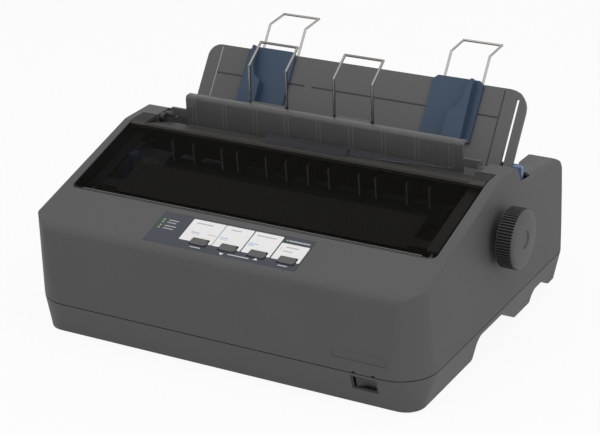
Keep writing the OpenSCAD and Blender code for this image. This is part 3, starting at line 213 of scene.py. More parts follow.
floor_mesh = bpy.data.meshes.new("floor")
floor = bpy.data.objects.new("floor", floor_mesh)
put_in_scene(floor)
bm = bmesh.new()
bmesh.ops.create_grid(bm, x_segments=2, y_segments=2, size=FLOOR_HALF)
bm.to_mesh(floor_mesh)
bm.free()
floor_paint = bpy.data.materials.new("floor paper")
floor_paint.use_nodes = True
tree = floor_paint.node_tree
tree.nodes.clear()
shade = tree.nodes.new("ShaderNodeBsdfDiffuse")
shade.inputs["Color"].default_value = (*grey(FLOOR_PAPER), 1)
glow = tree.nodes.new("ShaderNodeEmission")
glow.inputs["Strength"].default_value = PAPER_STRENGTH
share = tree.nodes.new("ShaderNodeMath")
share.operation = "MULTIPLY"
share.inputs[1].default_value = FLOOR_GLOW_SHARE
tree.links.new(rays_that_see(tree), share.inputs[0])
choose_shader(tree, share.outputs[0], shade.outputs[0], glow.outputs[0],
              "ShaderNodeOutputMaterial")
floor_mesh.materials.append(floor_paint)
print("floor:", 2 * FLOOR_HALF, "m wide")

# %% [markdown]
# No real surface is one flat colour with one gloss. All the paints below share four steps: a noise
# in object coordinates, so that it keeps its real size on every piece, a small swing of colour
# along it, a small swing of gloss along it, and a bump. An image could carry the same detail, but a
# noise needs no unwrapping and has no seams.

# %% Helpers for paints
def new_paint(name):
    paint = bpy.data.materials.new(name)
    paint.use_nodes = True
    return paint, paint.node_tree, paint.node_tree.nodes["Principled BSDF"]


def add_noise(tree, where, scale, detail):
    noise = tree.nodes.new("ShaderNodeTexNoise")
    noise.inputs["Scale"].default_value = scale
    noise.inputs["Detail"].default_value = detail
    tree.links.new(where, noise.inputs["Vector"])
    return noise.outputs["Fac"]


def vary_colour(tree, shader, noise, colour, darker, lighter, low=0.0, high=1.0):
    tint = tree.nodes.new("ShaderNodeValToRGB")
    first, last = tint.color_ramp.elements
    first.position, last.position = low, high
    first.color = [c * darker for c in colour] + [1]
    last.color = [min(1, c * lighter) for c in colour] + [1]
    tree.links.new(noise, tint.inputs["Fac"])
    tree.links.new(tint.outputs["Color"], shader.inputs["Base Color"])


def vary_gloss(tree, shader, noise, smoothest, roughest, low=0.0, high=1.0):
    polish = tree.nodes.new("ShaderNodeMapRange")
    for socket, value in (("From Min", low), ("From Max", high), ("To Min", smoothest),
                          ("To Max", roughest)):
        polish.inputs[socket].default_value = value
    tree.links.new(noise, polish.inputs["Value"])
    tree.links.new(polish.outputs["Result"], shader.inputs["Roughness"])


def add_bump(tree, shader, noise, strength, depth):
    bump = tree.nodes.new("ShaderNodeBump")
    bump.inputs["Strength"].default_value = strength
    bump.inputs["Distance"].default_value = depth
    tree.links.new(noise, bump.inputs["Height"])
    tree.links.new(bump.outputs["Normal"], shader.inputs["Normal"])


print("paints so far:", len(bpy.data.materials))

# %% [markdown]
# Moulded plastic carries the fine spark-eroded grain of its tool. The resin clouds a little over
# some centimetres, and handling polishes patches of it. The grain could be a bump texture from a
# picture, but a second, much finer noise does the same and suits pieces of any shape.

# %% Materials: moulded plastics
CLOUDS_PER_METRE = 14
CLOUD_LOW, CLOUD_HIGH = 0.3, 0.7
GLOSS_SWING = 0.05
GRAIN_DEPTH = 0.0005


def plastic(name, colour, roughness=0.5, grain=0.05, grain_size=0.0007, cloud=0.06, sheen=0.5):
    paint, tree, shader = new_paint(name)
    shader.inputs["Specular IOR Level"].default_value = sheen
    where = tree.nodes.new("ShaderNodeTexCoord").outputs["Object"]
    clouds = add_noise(tree, where, scale=CLOUDS_PER_METRE, detail=4)
    vary_colour(tree, shader, clouds, colour, 1 - cloud, 1 + cloud, CLOUD_LOW, CLOUD_HIGH)
    vary_gloss(tree, shader, clouds, roughness - GLOSS_SWING, roughness + GLOSS_SWING,
               CLOUD_LOW, CLOUD_HIGH)
    sparks = add_noise(tree, where, scale=1 / grain_size, detail=2)
    add_bump(tree, shader, sparks, grain, GRAIN_DEPTH)
    return paint


case_grey = plastic("case grey", grey(0.094), roughness=0.6, grain=0.08, sheen=0.3)
tray_grey = plastic("tray grey", grey(0.094))
ear_grey = plastic("ear grey", grey(0.095), sheen=0.3)
key_grey = plastic("key grey", (0.078, 0.078, 0.080), roughness=0.45)
# Lighter than the case: painted light on the window's right ledge.
ledge_painted_light = plastic("ledge painted light", (0.22, 0.21, 0.19))
inner_black = plastic("inner black", (0.018, 0.018, 0.019), grain=0.08)
shield_brown = plastic("shield brown", (0.048, 0.046, 0.041), roughness=0.45, grain=0.2,
                       grain_size=0.0015)
guide_blue = plastic("guide blue", (0.040, 0.070, 0.115), grain=0.06, sheen=0.35)
lever_blue = plastic("lever blue", (0.125, 0.205, 0.36), roughness=0.35, grain=0.04)
gear_white = plastic("gear white", (0.62, 0.62, 0.58), roughness=0.4, grain=0.03)
feet_rubber = plastic("feet rubber", grey(0.012), roughness=0.8, grain=0.3)
platen_rubber = plastic("platen rubber", (0.022, 0.022, 0.023), roughness=0.7, grain=0.2)
belt_rubber = plastic("belt rubber", grey(0.015), roughness=0.8, grain=0.4)
board_green = plastic("board green", (0.02, 0.10, 0.04), roughness=0.3, grain=0.1,
                      grain_size=0.0015, cloud=0.2)
board_tan = plastic("board tan", (0.22, 0.13, 0.06), grain=0.15, grain_size=0.0012, cloud=0.15)
panel_sheet = plastic("panel sheet", (0.043, 0.052, 0.067), roughness=0.35, grain=0.03, sheen=0.3)
lamp_lens = plastic("lamp lens", (0.20, 0.58, 0.10), roughness=0.15, grain=0.0)
print("paints so far:", len(bpy.data.materials))

# %% [markdown]
# Small moulded detail gets paints of its own, and most of them are painted light. The front
# faces of the exit guide's ribs, the separator's ribs and the cover's front edge get painted
# highlights. The grip of the knob and the valleys between its ribs get painted shade, and so do
# two of the tray's seams, while the third seam gets a painted highlight.

# %% Materials: painted highlights and shade for edges, ribs and seams
edge_highlight = plastic("cover edge highlight", (0.20, 0.20, 0.19), roughness=0.2, grain=0.02)
rib_edge_highlight = plastic("rib edge highlight", (0.50, 0.49, 0.46), roughness=0.4, grain=0.03)
separator_rib_highlight = plastic("separator rib highlight", grey(0.15), roughness=0.4, grain=0.03)
grip_shade = plastic("grip shade", grey(0.045), roughness=0.6)
grip_valley_shade = plastic("grip valley shade", grey(0.012), roughness=0.8)
seam_highlight = plastic("seam highlight", grey(0.42), roughness=0.3, grain=0.03)
seam_shade = plastic("seam shade", grey(0.014), roughness=0.6, grain=0.03)
print("paints so far:", len(bpy.data.materials))

# %% [markdown]
# The window is dark smoke acrylic: glossy, and just clear enough to show the parts behind it as
# shapes. The separator is moulded in a lighter smoke that lets a little light through. Transmission
# would bend the light as glass does, but thin sheets barely do that, and it renders with more
# grain. So these are plastics with part alpha, whose strength is set on its own socket.

# %% Materials: smoke plastics
ACRYLIC_IOR = 1.49


def smoke(name, colour, through, roughness, sheen):
    paint = plastic(name, colour, roughness=roughness, grain=0.02, cloud=0.05, sheen=sheen)
    shader = paint.node_tree.nodes["Principled BSDF"]
    shader.inputs["Alpha"].default_value = 1 - through
    shader.inputs["IOR"].default_value = ACRYLIC_IOR
    return paint


window_smoke = smoke("window smoke", (0.0040, 0.0038, 0.0030), 0.5, 0.08, 0.02)
band_smoke = smoke("cover band smoke", (0.060, 0.058, 0.055), 0.1, 0.5, 0.1)
band_end_smoke = smoke("cover end smoke", (0.034, 0.033, 0.031), 0.1, 0.5, 0.1)
clear_sheet = smoke("clear sheet", (0.066, 0.068, 0.079), 0.5, 0.1, 0.5)
separator_smoke = smoke("separator smoke", grey(0.108), 0.14, 0.3, 0.3)
print("paints so far:", len(bpy.data.materials))

# %% [markdown]
# Ground and plated steel show fine lines along the way they were drawn or rolled. An anisotropic
# shader would stretch the highlights but draw no lines. Stretching a noise along one axis with a
# Mapping node draws them, in the colour, the gloss and the bump alike.

# %% Materials: metals
STREAKS_PER_METRE = 900
STREAK_DARK, STREAK_LIGHT = 0.88, 1.08
STREAK_SMOOTH, STREAK_ROUGH = 0.7, 1.3
LINE_DEPTH = 0.0002


def metal(name, colour, roughness=0.3, stretch=(1, 1, 1), lines=0.1):
    paint, tree, shader = new_paint(name)
    shader.inputs["Metallic"].default_value = 1
    where = tree.nodes.new("ShaderNodeTexCoord").outputs["Object"]
    along = tree.nodes.new("ShaderNodeMapping")
    along.inputs["Scale"].default_value = stretch
    tree.links.new(where, along.inputs["Vector"])
    streaks = add_noise(tree, along.outputs["Vector"], scale=STREAKS_PER_METRE, detail=3)
    vary_colour(tree, shader, streaks, colour, STREAK_DARK, STREAK_LIGHT)
    vary_gloss(tree, shader, streaks, roughness * STREAK_SMOOTH, roughness * STREAK_ROUGH)
    add_bump(tree, shader, streaks, lines, LINE_DEPTH)
    return paint


wire_chrome = metal("wire chrome", (0.20, 0.195, 0.185), roughness=0.15, lines=0.02)
rear_chrome = metal("rear wire chrome", (0.36, 0.35, 0.33), roughness=0.12, lines=0.02)
rod_steel = metal("rod steel", (0.60, 0.61, 0.63), roughness=0.22, stretch=(0.05, 1, 1))
plated = metal("plated steel", (0.50, 0.51, 0.52), roughness=0.4, stretch=(1, 0.08, 1))
pinion_brass = metal("pinion brass", (0.62, 0.46, 0.20))
head_cast = metal("cast head", (0.20, 0.20, 0.21), roughness=0.5, lines=0.3)
print("paints so far:", len(bpy.data.materials))

# %% [markdown]
# Each CAD node arrives with one plain finish. The nodes keep their shapes, and only that finish is
# changed. Each could get its paint where it is dressed below, but a table from paint to nodes reads
# like a maker's finish list, and its last line shows that no node was forgotten.

# %% Give every CAD node its material
finishes = {
    case_grey: ["lower_case", "upper_case", "platen_knob"],
    inner_black: ["ribbon_cartridge", "switch_housing", "power_inlet", "exit_guide",
                  "tractor_left", "tractor_right", "carriage", "power_rocker"],
    shield_brown: ["front_shield"],
    feet_rubber: ["rubber_feet"],
    platen_rubber: ["platen_roller"],
    belt_rubber: ["timing_belt"],
    plated: ["case_screws", "side_frame_left", "side_frame_right", "carriage_rail",
             "carriage_motor", "feed_motor", "data_connectors"],
    rod_steel: ["carriage_rod", "tractor_rod", "platen_shaft", "tractor_shaft"],
    gear_white: ["platen_bushes", "platen_gear", "idler_gear", "tractor_gear", "sprocket_left",
                 "sprocket_right", "motor_pulley", "idler_pulley"],
    pinion_brass: ["motor_pinion"],
    head_cast: ["print_head"],
    guide_blue: ["pin_cover_left", "pin_cover_right", "edge_guide_left", "edge_guide_right"],
    lever_blue: ["lock_lever_left", "lock_lever_right", "ribbon_winder", "head_gap_lever",
                 "release_lever"],
    key_grey: ["button_1", "button_2", "button_3", "button_4"],
    panel_sheet: ["panel_overlay"],
    lamp_lens: ["led_lenses"],
    board_green: ["main_board"],
    board_tan: ["power_board"],
    window_smoke: ["printer_cover"],
    separator_smoke: ["sheet_separator"],
    tray_grey: ["paper_tray"],
    wire_chrome: ["front_wire_left", "front_wire_middle"],
    rear_chrome: ["rear_wire_left", "rear_wire_right"],
}
finished = set()
for paint, names in finishes.items():
    for name in names:
        mesh = nodes[name].data
        mesh.materials.clear()
        mesh.materials.append(paint)
        finished.add(name)
print("nodes without a finish:", set(nodes) - finished)

# %% [markdown]
# Moulded edges are never knife sharp: each one carries a small radius that catches a line of light.
# The CAD solids keep their edges sharp, so the pieces that show most are copied, their loose
# triangles merged, flat faces joined again and the sharp edges bevelled. A bevel by operator is
# used and not a modifier, because only edges above a given angle should change.

# %% Helpers for soft edges
MERGE_WITHIN = 1e-6
FLAT_BELOW = math.radians(0.5)


def join_flats(bm):
    bmesh.ops.remove_doubles(bm, verts=bm.verts, dist=MERGE_WITHIN)
    bmesh.ops.dissolve_limit(bm, angle_limit=FLAT_BELOW, verts=bm.verts, edges=bm.edges)


def round_off(bm, geometry, radius, segments=2, kind="EDGES", clamp=True):
    bmesh.ops.bevel(bm, geom=geometry, offset=radius * MM, affect=kind, segments=segments,
                    profile=0.5, material=-1, offset_type="OFFSET", clamp_overlap=clamp)


def smooth_by_angle(mesh, angle):
    mesh.polygons.foreach_set("use_smooth", [True] * len(mesh.polygons))
    mesh.set_sharp_from_angle(angle=angle)


print("faces join where they turn less than", round(math.degrees(FLAT_BELOW), 2), "degrees")

# %% [markdown]
# The softened copy stands for its CAD node, in the same place and at the same size. The seam
# between the two shells is left sharp, because two radii there would open it to a wide groove.
# Weighted normals keep the flat faces flat next to their narrow radii. Some pieces are reshaped a
# little first, and some are cut along a plane so that one side can take a second finish.

# %% Softened copies of the moulded pieces
SEAM_REACH = 1.2
SHARP_FROM = math.radians(40)
SMOOTH_BELOW = math.radians(32)


def at_seam(edge):
    return all(abs(in_case(vert.co).z - SEAM_Z) < SEAM_REACH for vert in edge.verts)


def softened(node, width, reshape=None, cuts=(), paints=()):
    source = nodes[node]
    bm = bmesh.new()
    bm.from_mesh(source.data)
    join_flats(bm)
    if reshape:
        reshape(bm)
    sharp = [edge for edge in bm.edges
             if edge.is_manifold and edge.calc_face_angle() > SHARP_FROM and not at_seam(edge)]
    round_off(bm, sharp, width)
    for at, across in cuts:
        bmesh.ops.bisect_plane(bm, geom=bm.verts[:] + bm.edges[:] + bm.faces[:], plane_co=at,
                               plane_no=across)
    for slot, (_, chosen) in enumerate(paints, 1):
        for face in bm.faces:
            if chosen(in_case(face.calc_center_median()), face.normal):
                face.material_index = slot
    mesh = bpy.data.meshes.new(node + "_soft")
    bm.to_mesh(mesh)
    bm.free()
    mesh.materials.append(source.data.materials[0])
    for paint, _ in paints:
        mesh.materials.append(paint)
    smooth_by_angle(mesh, SMOOTH_BELOW)
    copy = bpy.data.objects.new(node + "_soft", mesh)
    put_in_scene(copy)
    flat = copy.modifiers.new("flat faces stay flat", "WEIGHTED_NORMAL")
    flat.mode = "FACE_AREA_WITH_ANGLE"
    flat.keep_sharp = True
    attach(copy, source["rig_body"])
    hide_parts(node)
    print(copy.name, len(sharp), "edges,", len(mesh.polygons), "faces")


print("edges are rounded where they turn more than", round(math.degrees(SHARP_FROM)), "degrees")

# %% [markdown]
# The arches between the foot blocks have a larger radius than the other edges of the lower shell.
# They are found by their direction, their length and their place, and are rounded before the rest.

# %% Shells, edge guides, lever and buttons
ARCH_RADIUS = 2.2
ARCH_TURNS = math.radians(25)
ARCH_LEAST = 3 * MM
ARCH_BELOW_Z = 22
ARCH_BEHIND_Y = 60
RUNS_ACROSS = 0.98


def round_arches(bm):
    def is_arch_corner(edge):
        if not edge.is_manifold or edge.calc_face_angle() <= ARCH_TURNS:
            return False
        start, end = (vert.co for vert in edge.verts)
        places = [in_case(start), in_case(end)]
        return (abs((start - end).normalized().x) > RUNS_ACROSS and edge.calc_length() > ARCH_LEAST
                and all(at.z < ARCH_BELOW_Z and at.y > ARCH_BEHIND_Y for at in places))

    corners = [edge for edge in bm.edges if is_arch_corner(edge)]
    print("arch corners:", len(corners))
    round_off(bm, corners, ARCH_RADIUS, segments=4, clamp=False)


softened("lower_case", 0.4, reshape=round_arches)
EDGE_RADII = {"upper_case": 0.5, "edge_guide_left": 0.9, "edge_guide_right": 0.9,
              "release_lever": 0.5, "button_1": 0.8, "button_2": 0.8, "button_3": 0.8,
              "button_4": 0.8}
for node, width in EDGE_RADII.items():
    softened(node, width)

# %% [markdown]
# The slit beside the tray's right rail is narrow in the solid. Light shows through the real one, so
# the copy moves both sides of the slit outwards to its real width.

# %% Tray with its open slit
SLIT_X = 140.5
SLIT_REACH = 1
SLIT_STEP = 0.75


def open_slit(bm):
    for vert in bm.verts:
        aside = in_case(vert.co).x - SLIT_X
        if abs(aside) < SLIT_REACH:
            vert.co.x += math.copysign(SLIT_STEP * MM, aside)


softened("paper_tray", 0.4, reshape=open_slit)

# %% [markdown]
# Three pieces need a second finish. The rear band of the cover is frosted, its ends are darker
# and its front edge gets a painted highlight. The ends of the separator are solid, and the front
# faces of the exit guide's ribs are painted pale as a painted highlight. A mask texture could
# paint these, but a face has one finish in a real mould too, so each face is given its paint by
# its place and direction.

# %% Copies with a second finish
BAND_Y = 136.5
BAND_END_X = 147
HINGE_Y, HINGE_X = 157.5, 138
FRONT_EDGE_Y = 52
EDGE_LEANS_FROM, EDGE_LEANS_TO = -0.95, -0.35
EDGE_FACES_UP = 0.2
SEPARATOR_HALF = 127.0
RIB_FOOT_Z = 112
RIB_FACES_FRONT = -0.6


def on_front_edge(at, out):
    leans = EDGE_LEANS_FROM < out.y < EDGE_LEANS_TO and out.z > EDGE_FACES_UP
    return at.y < FRONT_EDGE_Y and leans


# The faces along the cover's front edge get the pale paint as a painted highlight.
softened("printer_cover", 0.25, cuts=[(place(0, BAND_Y, 0), (0, 1, 0))],
         paints=[(band_smoke, lambda at, out: at.y > BAND_Y),
                 (band_end_smoke, lambda at, out: at.y > BAND_Y and abs(at.x) > BAND_END_X),
                 (inner_black, lambda at, out: at.y > HINGE_Y and abs(at.x) > HINGE_X),
                 (edge_highlight, on_front_edge)])
softened("sheet_separator", 0.3,
         cuts=[(place(side * SEPARATOR_HALF, 0, 0), (1, 0, 0)) for side in (-1, 1)],
         paints=[(ear_grey, lambda at, out: abs(at.x) > SEPARATOR_HALF)])
# The front faces of the ribs get the pale paint as a painted highlight.
softened("exit_guide", 0.2,
         paints=[(rib_edge_highlight, lambda at, out: out.y < RIB_FACES_FRONT and at.z > RIB_FOOT_Z)])

# %% [markdown]
# Small pieces are drawn as an outline and pushed out to their thickness. That could be a curve with
# a depth, but a curve has to be made a mesh before it can ride. One helper takes the points, moves
# them along one direction and softens what it made, and another makes the object and lets it ride.

# %% Helpers for small moulded pieces
def new_piece(name, bm, body, *paints):
    bmesh.ops.recalc_face_normals(bm, faces=bm.faces)
    mesh = bpy.data.meshes.new(name)
    bm.to_mesh(mesh)
    bm.free()
    for paint in paints:
        mesh.materials.append(paint)
    piece = bpy.data.objects.new(name, mesh)
    put_in_scene(piece)
    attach(piece, body)
    print(name, len(mesh.polygons), "faces, rides on", body)
    return piece


def pushed_out(bm, outline, along, soft=0.0):
    ring = [bm.verts.new(point) for point in outline]
    sheet = bm.faces.new(ring)
    far = bmesh.ops.extrude_face_region(bm, geom=[sheet], use_keep_orig=True)
    moved = [vert for vert in far["geom"] if isinstance(vert, bmesh.types.BMVert)]
    bmesh.ops.translate(bm, verts=moved, vec=along)
    if soft:
        round_off(bm, list(dict.fromkeys(e for v in ring + moved for e in v.link_edges)), soft)


def oblong(left, right, low, high):
    return [(left, low), (right, low), (right, high), (left, high)]


# %% [markdown]
# Behind the ribs of the exit guide a web closes the throat, so that no daylight comes through
# below the paper. At both sides of the window a ledge runs under the cover and carries it. The
# right ledge is painted lighter than the case, as painted light, and the left one black, as
# painted shade.

# %% Web of the exit guide and ledges of the window
WEB_HALF = 149.5
WEB_SECTION = ((160, 105.6), (161.5, 105.6), (161.5, 119), (160, 119.4))
SLOPE = math.radians(16)
FLAT_TOP = (142.0, 133.5)
LEDGE_LINE = (68, 142, 148)
LEDGE_TOP, LEDGE_UNDER = 7.8, 10
# The right ledge's pale paint is painted light, and the left ledge's black is painted shade.
LEDGES = (("left", -155.2, -145.6, inner_black), ("right", 145.6, 155.2, ledge_painted_light))


def top_of_case(y):
    return FLAT_TOP[1] - max(0, FLAT_TOP[0] - y) * math.tan(SLOPE)


bm = bmesh.new()
pushed_out(bm, [place(-WEB_HALF, y, z) for y, z in WEB_SECTION],
           Vector((2 * WEB_HALF * MM, 0, 0)), soft=0.2)
web = new_piece("exit_guide_web", bm, nodes["exit_guide"]["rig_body"], inner_black)
for side, low, high, paint in LEDGES:
    bm = bmesh.new()
    outline = [place(low, y, top_of_case(y) - LEDGE_TOP) for y in LEDGE_LINE]
    outline += [place(low, y, top_of_case(y) - LEDGE_UNDER) for y in LEDGE_LINE[::-1]]
    pushed_out(bm, outline, Vector(((high - low) * MM, 0, 0)), soft=0.3)
    ledge = new_piece(f"window_ledge_{side}", bm, "case", paint)

# %% [markdown]
# The cut edge of the clear cover catches the light along its front. A thin pale strip laid just
# inside the edge, and carried by the cover, is a painted highlight for that light.

# %% Painted highlight along the front of the cover
FRONT_HIGHLIGHT = oblong(-150, 150, 51.3, 51.8)
FRONT_HIGHLIGHT_LIFT = 0.02
FRONT_HIGHLIGHT_RISE = Vector((0, -0.05, 0.17)) * MM

bm = bmesh.new()
pushed_out(bm, [place(x, y, top_of_case(y) + FRONT_HIGHLIGHT_LIFT) for x, y in FRONT_HIGHLIGHT], FRONT_HIGHLIGHT_RISE)
front_highlight = new_piece("cover_front_highlight", bm, nodes["printer_cover"]["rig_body"], edge_highlight)

# %% [markdown]
# The knob has fine grip ribs all round, a rounded edge to its face and a shallow finger hollow. It
# could be spun from a profile, but a spin makes no ribs. So its outline along the axis is a stack
# of rings, each extruded from the last. On a ring where the ribs run, every other pair of points is
# drawn in, which makes the valleys.

# %% Platen knob
KNOB_AT = (144.4, 90.6)
KNOB_RIBS = 64
POINTS_PER_RIB = 4
VALLEY_POINTS = (0, 3)
# Place along the axis, radius, depth of the valleys
KNOB_RINGS = [(168.2, 7, 0), (177.0, 7, 0), (177.0, 22.3, 0), (177.6, 23.2, 0),
              (177.9, 24.0, 1.7), (189.4, 24.0, 1.7), (190.0, 23.4, 0.3), (190.9, 22.9, 0),
              (191.7, 21.9, 0), (192.2, 20.6, 0), (192.2, 7.6, 0), (191.9, 7.1, 0),
              (191.3, 6.9, 0), (191.3, 3.0, 0)]
GRIP_FROM, GRIP_TO = 177.9, 189.5
GRIP_CREST = 23.6
KNOB_SMOOTH_BELOW = math.radians(30)


def edges_of_ring(ring):
    inside = set(ring)
    near = dict.fromkeys(edge for vert in ring for edge in vert.link_edges)
    return [edge for edge in near if all(vert in inside for vert in edge.verts)]


def next_ring(bm, ring):
    inside = set(ring)
    after = {}
    for grown in bmesh.ops.extrude_edge_only(bm, edges=edges_of_ring(ring))["geom"]:
        if isinstance(grown, bmesh.types.BMVert):
            beside = [edge.other_vert(grown) for edge in grown.link_edges]
            after[next(vert for vert in beside if vert in inside)] = grown
    return [after[vert] for vert in ring]


bm = bmesh.new()
start = bmesh.ops.create_circle(bm, segments=POINTS_PER_RIB * KNOB_RIBS, radius=MM)
rings = [list(start["verts"])]
while len(rings) < len(KNOB_RINGS):
    rings.append(next_ring(bm, rings[-1]))
for ring, (x, radius, depth) in zip(rings, KNOB_RINGS):
    for i, vert in enumerate(ring):
        angle = 2 * math.pi * i / len(ring)
        r = radius - (depth if i % POINTS_PER_RIB in VALLEY_POINTS else 0)
        vert.co = place(x, KNOB_AT[0] + r * math.cos(angle), KNOB_AT[1] + r * math.sin(angle))
for ring in (rings[0], rings[-1]):
    bmesh.ops.contextual_create(bm, geom=edges_of_ring(ring))
knob = new_piece("platen_knob_ribbed", bm, nodes["platen_knob"]["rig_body"], case_grey, grip_shade,
                 grip_valley_shade)
# The grip is painted darker than the case as painted shade, and the valleys between its ribs darker
# still, as painted shade.
for face in knob.data.polygons:
    middle = in_case(face.center)
    if GRIP_FROM < middle.x < GRIP_TO:
        reach = math.hypot(middle.y - KNOB_AT[0], middle.z - KNOB_AT[1])
        face.material_index = 1 if reach > GRIP_CREST else 2
smooth_by_angle(knob.data, KNOB_SMOOTH_BELOW)
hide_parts("platen_knob")

# %% [markdown]
# The separator is stiffened by thin ribs in pairs, and their edges show as pale lines through its
# smoke. These lines are painted highlights: narrow pale strips laid on its face, all in one mesh,
# because they share one finish.

# %% Painted highlights on the separator's ribs
separator_body = nodes["sheet_separator"]["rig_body"]
LINE_PITCH, LINE_SHIFT = 29.5, 0.9
PAIRS_EACH_SIDE = 4
LINE_PAIR = (-1.9, 1.5)
LINE_HALF = 0.3
LINE_LOW, LINE_HIGH = 126, 147.5
LINE_FACE_Y = 171.9
LINE_RISE = Vector((0, 0.2, 0)) * MM

bm = bmesh.new()
for i in range(-PAIRS_EACH_SIDE, PAIRS_EACH_SIDE + 1):
    for step in LINE_PAIR:
        at = LINE_PITCH * i - LINE_SHIFT + step
        if abs(at) < SEPARATOR_HALF:
            line = oblong(at - LINE_HALF, at + LINE_HALF, LINE_LOW, LINE_HIGH)
            pushed_out(bm, [place(x, LINE_FACE_Y, z) for x, z in line], LINE_RISE)
# Pale strips of painted highlight over the ribs.
lines = new_piece("separator_rib_highlights", bm, separator_body, separator_rib_highlight)

# %% [markdown]
# In front of the separator's foot two clear strips rise from the rear band of the cover and close
# the gap. Each is one sloping sheet: its front corners lie on the band and its rear corners stand
# a few millimetres above it. The strips ride on the cover, because they lift with it.

# %% Clear strips
BAND_START = (139.5, 132.78)
BAND_FALL = 0.28
STRIP_THICKNESS = Vector((0, 0, 0.7)) * MM
# Corners of each strip: across, along the depth, above the band
STRIPS = (
    ("clear_strip_middle", ((-40, 146.5, 0.1), (36, 146.2, 0.1), (29, 167.3, 4.6),
                            (-44, 167.3, 5.2))),
    ("clear_strip_right", ((35, 156.5, 0.1), (60, 160.3, 0.1), (124, 167.3, 3.2),
                           (30, 167.3, 4.4))),
)


def on_band(x, y, lift):
    return place(x, y, BAND_START[1] - (y - BAND_START[0]) * BAND_FALL + lift)


for name, corners in STRIPS:
    bm = bmesh.new()
    pushed_out(bm, [on_band(*corner) for corner in corners], STRIP_THICKNESS, soft=0.2)
    strip = new_piece(name, bm, nodes["printer_cover"]["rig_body"], clear_sheet)

# %% [markdown]
# At both ends the separator has a solid ear that reaches out towards its pin. It is one small block
# with soft edges, in the same grey as the separator's ends.

# %% Ears of the separator
EAR_LOW, EAR_HIGH = 129.3, 136.6
EAR_FACE_Y = 171.7
EAR_THICKNESS = Vector((0, 2.6, 0)) * MM
for side, low, high in (("left", -141, -126), ("right", 126, 141)):
    bm = bmesh.new()
    pushed_out(bm, [place(x, EAR_FACE_Y, z) for x, z in oblong(low, high, EAR_LOW, EAR_HIGH)],
               EAR_THICKNESS, soft=0.4)
    ear = new_piece(f"separator_ear_{side}", bm, separator_body, ear_grey)

# %% [markdown]
# Two seams run down the tray beside its rails, and one runs across it. They could be grooves in the
# solid, but they are finer than its walls allow, so they are thin strips laid on the tray's front.
# The right seam and the one across are dark strips of painted shade, where a groove holds shadow,
# and the left seam is a pale strip of painted highlight.
# `on_tray` takes a point along the tray's lean, with its height above the tray's middle plane.

# %% Seams of the tray
TRAY_AT = (213.0, 110.0)
TRAY_LEAN = math.radians(54.7)
TRAY_LOW, TRAY_HIGH = -4, 68.2
TRAY_FACE = 1.7
SEAM_RISE = 0.13
CROSS_LOW, CROSS_HIGH = 44.2, 45.6
tray_body = nodes["paper_tray"]["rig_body"]


def on_tray(x, s, n):
    return place(x, TRAY_AT[0] + s * math.cos(TRAY_LEAN) - n * math.sin(TRAY_LEAN),
                 TRAY_AT[1] + s * math.sin(TRAY_LEAN) + n * math.cos(TRAY_LEAN))


def lay_on_tray(bm, outline):
    pushed_out(bm, [on_tray(x, s, TRAY_FACE) for x, s in outline],
               on_tray(0, 0, SEAM_RISE) - on_tray(0, 0, 0))


# The left seam is a painted highlight and the right one is painted shade.
for name, x, width, paint in (("tray_seam_left", -136.8, 0.7, seam_highlight),
                              ("tray_seam_right", 128.0, 1.1, seam_shade)):
    bm = bmesh.new()
    lay_on_tray(bm, oblong(x - width / 2, x + width / 2, TRAY_LOW, TRAY_HIGH))
    seam = new_piece(name, bm, tray_body, paint)
# The seam across is painted shade.
bm = bmesh.new()
for low, high in ((-136.4, -50.2), (-43, 127.4)):
    lay_on_tray(bm, oblong(low, high, CROSS_LOW, CROSS_HIGH))
seam = new_piece("tray_seam_across", bm, tray_body, seam_shade)

# %% [markdown]
# The control panel is a printed sheet on the slope. Its four white fields end round the buttons, so
# each is an outline with a notch. A few vertices make the outline, a vertex bevel rounds its
# corners, and a very small extrusion gives the ink a thickness that catches the light. Printing it
# as an image would need unwrapping, and would blur when the panel is seen from close by.

# %% Printing on the panel sheet
FIELD_LIFT, FIELD_RISE = 0.02, 0.06
FIELD_ROUNDING = 0.8
NEAR_EDGE = 18.0
NOTCH_HALF = 7.6
NOTCH_TOP = 22.8
# Each field: left edge, right edge, far edge and the middle of its button
FIELDS = [(-39.4, -10.4, 42.1, -21.3), (-9.9, 14.6, 42.1, 4.2), (15.6, 40.3, 42.0, 29.7),
          (41.5, 65.5, 36.0, 55.2)]


def slope_point(x, y, lift=0.0):
    return place(x, y - lift * math.sin(SLOPE), top_of_case(y) + lift * math.cos(SLOPE))


def printed_patch(name, outline, paint, rounding, lift, rise):
    bm = bmesh.new()
    ring = [bm.verts.new(slope_point(x, y, lift)) for x, y in outline]
    bm.faces.new(ring)
    round_off(bm, ring, rounding, segments=3, kind="VERTICES")
    top = bmesh.ops.extrude_face_region(bm, geom=bm.faces[:])
    raised = [vert for vert in top["geom"] if isinstance(vert, bmesh.types.BMVert)]
    bmesh.ops.translate(bm, verts=raised, vec=slope_point(0, 0, rise) - slope_point(0, 0))
    return new_piece(name, bm, "case", paint)


def print_ink(name, colour, cloud=0.02):
    return plastic(name, colour, roughness=0.35, grain=0.02, cloud=cloud)


print_white = print_ink("print white", (0.92, 0.92, 0.91), cloud=0.01)
print_grey = print_ink("print grey", (0.55, 0.55, 0.57))
print_blue = print_ink("print blue", (0.45, 0.55, 0.80))
print_red = print_ink("print red", (0.80, 0.58, 0.55))
print_pale = print_ink("print pale", (0.50, 0.51, 0.52))
print_yellow = print_ink("print yellow", (0.82, 0.79, 0.62))

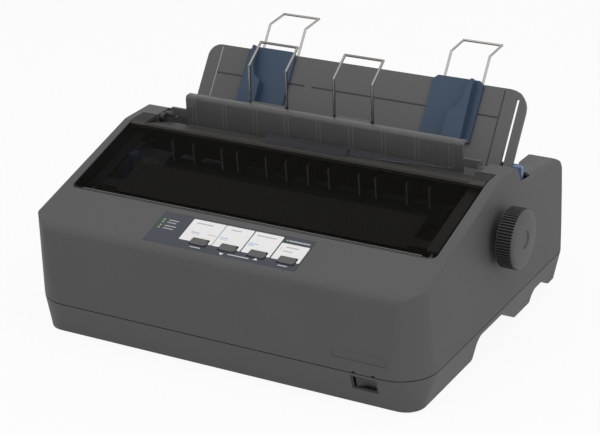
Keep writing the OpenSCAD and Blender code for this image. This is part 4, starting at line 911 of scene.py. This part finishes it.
for i, (left, right_edge, far, button) in enumerate(FIELDS, 1):
    outline = [(left, NEAR_EDGE), (button - NOTCH_HALF, NEAR_EDGE),
               (button - NOTCH_HALF, NOTCH_TOP), (button + NOTCH_HALF, NOTCH_TOP),
               (button + NOTCH_HALF, NEAR_EDGE), (right_edge, NEAR_EDGE), (right_edge, far),
               (left, far)]
    field = printed_patch(f"panel_field_{i}", outline, print_white, FIELD_ROUNDING, FIELD_LIFT,
                          FIELD_RISE)

# %% [markdown]
# Small bars, dots and arrows of ink lie on the sheet and on its white fields. They say nothing, and
# only give the panel its weight of ink. They are plain outlines made as the fields are, a hair
# higher, so that ink on ink doesn't flicker.

# %% Bars, dots and arrows
BAR_LIFT, ARROW_LIFT, MARK_RISE = 0.07, 0.05, 0.03
BAR_ROUNDING, ARROW_ROUNDING = 0.2, 0.15
# Each bar: left, near edge, width and height
BARS = [
    ("print_grey_1", print_grey, [(-34.5, 37.6, 14, 1.3), (-4.2, 37.6, 9, 1.3),
                                  (18.5, 37.6, 17, 1.3), (47, 31.6, 11, 1.3)]),
    ("print_grey_2", print_grey, [(-33.5, 26.2, 8, 0.5), (-8.2, 26.2, 7, 0.5),
                                  (46.6, 27.2, 8, 1.2)]),
    ("print_red_1", print_red, [(-19, 27.8, 7, 1.0), (-5.8, 30.4, 0.5, 0.5)]),
    ("print_blue_1", print_blue, [(-33.8, 27.6, 7, 1.0), (-8.2, 27.6, 7, 1.0),
                                  (16.8, 28.2, 8, 1.0), (16.8, 26.2, 5, 1.0)]),
    ("print_yellow_1", print_yellow, [(43.2, 27.4, 1.6, 4.2)]),
    ("print_pale_1", print_pale, [(-58.6, 35.0, 9, 0.8), (-58.6, 32.3, 8, 0.8),
                                  (-58.6, 28.5, 10, 0.8), (-58.6, 25.6, 9, 0.8)]),
    ("print_pale_2", print_pale, [(-26, 12.0, 9, 1.1), (7.5, 12.0, 18, 1.1),
                                  (50.5, 12.0, 8, 1.1), (45.8, 38.6, 18, 1.3)]),
]
ARROW_FOOT_Y = 12.5
ARROW_HALF, ARROW_LENGTH = 1.9, 2.3

for name, paint, rows in BARS:
    for i, (x, y, width, height) in enumerate(rows):
        mark = printed_patch(f"{name}_{i}", oblong(x, x + width, y, y + height), paint,
                             BAR_ROUNDING, BAR_LIFT, MARK_RISE)
for name, x, tip in (("print_arrow_down", 2.0, -1), ("print_arrow_up", 31.0, 1)):
    outline = [(x - ARROW_HALF, ARROW_FOOT_Y), (x + ARROW_HALF, ARROW_FOOT_Y),
               (x, ARROW_FOOT_Y + ARROW_LENGTH * tip)]
    mark = printed_patch(name, outline, print_white, ARROW_ROUNDING, ARROW_LIFT, MARK_RISE)
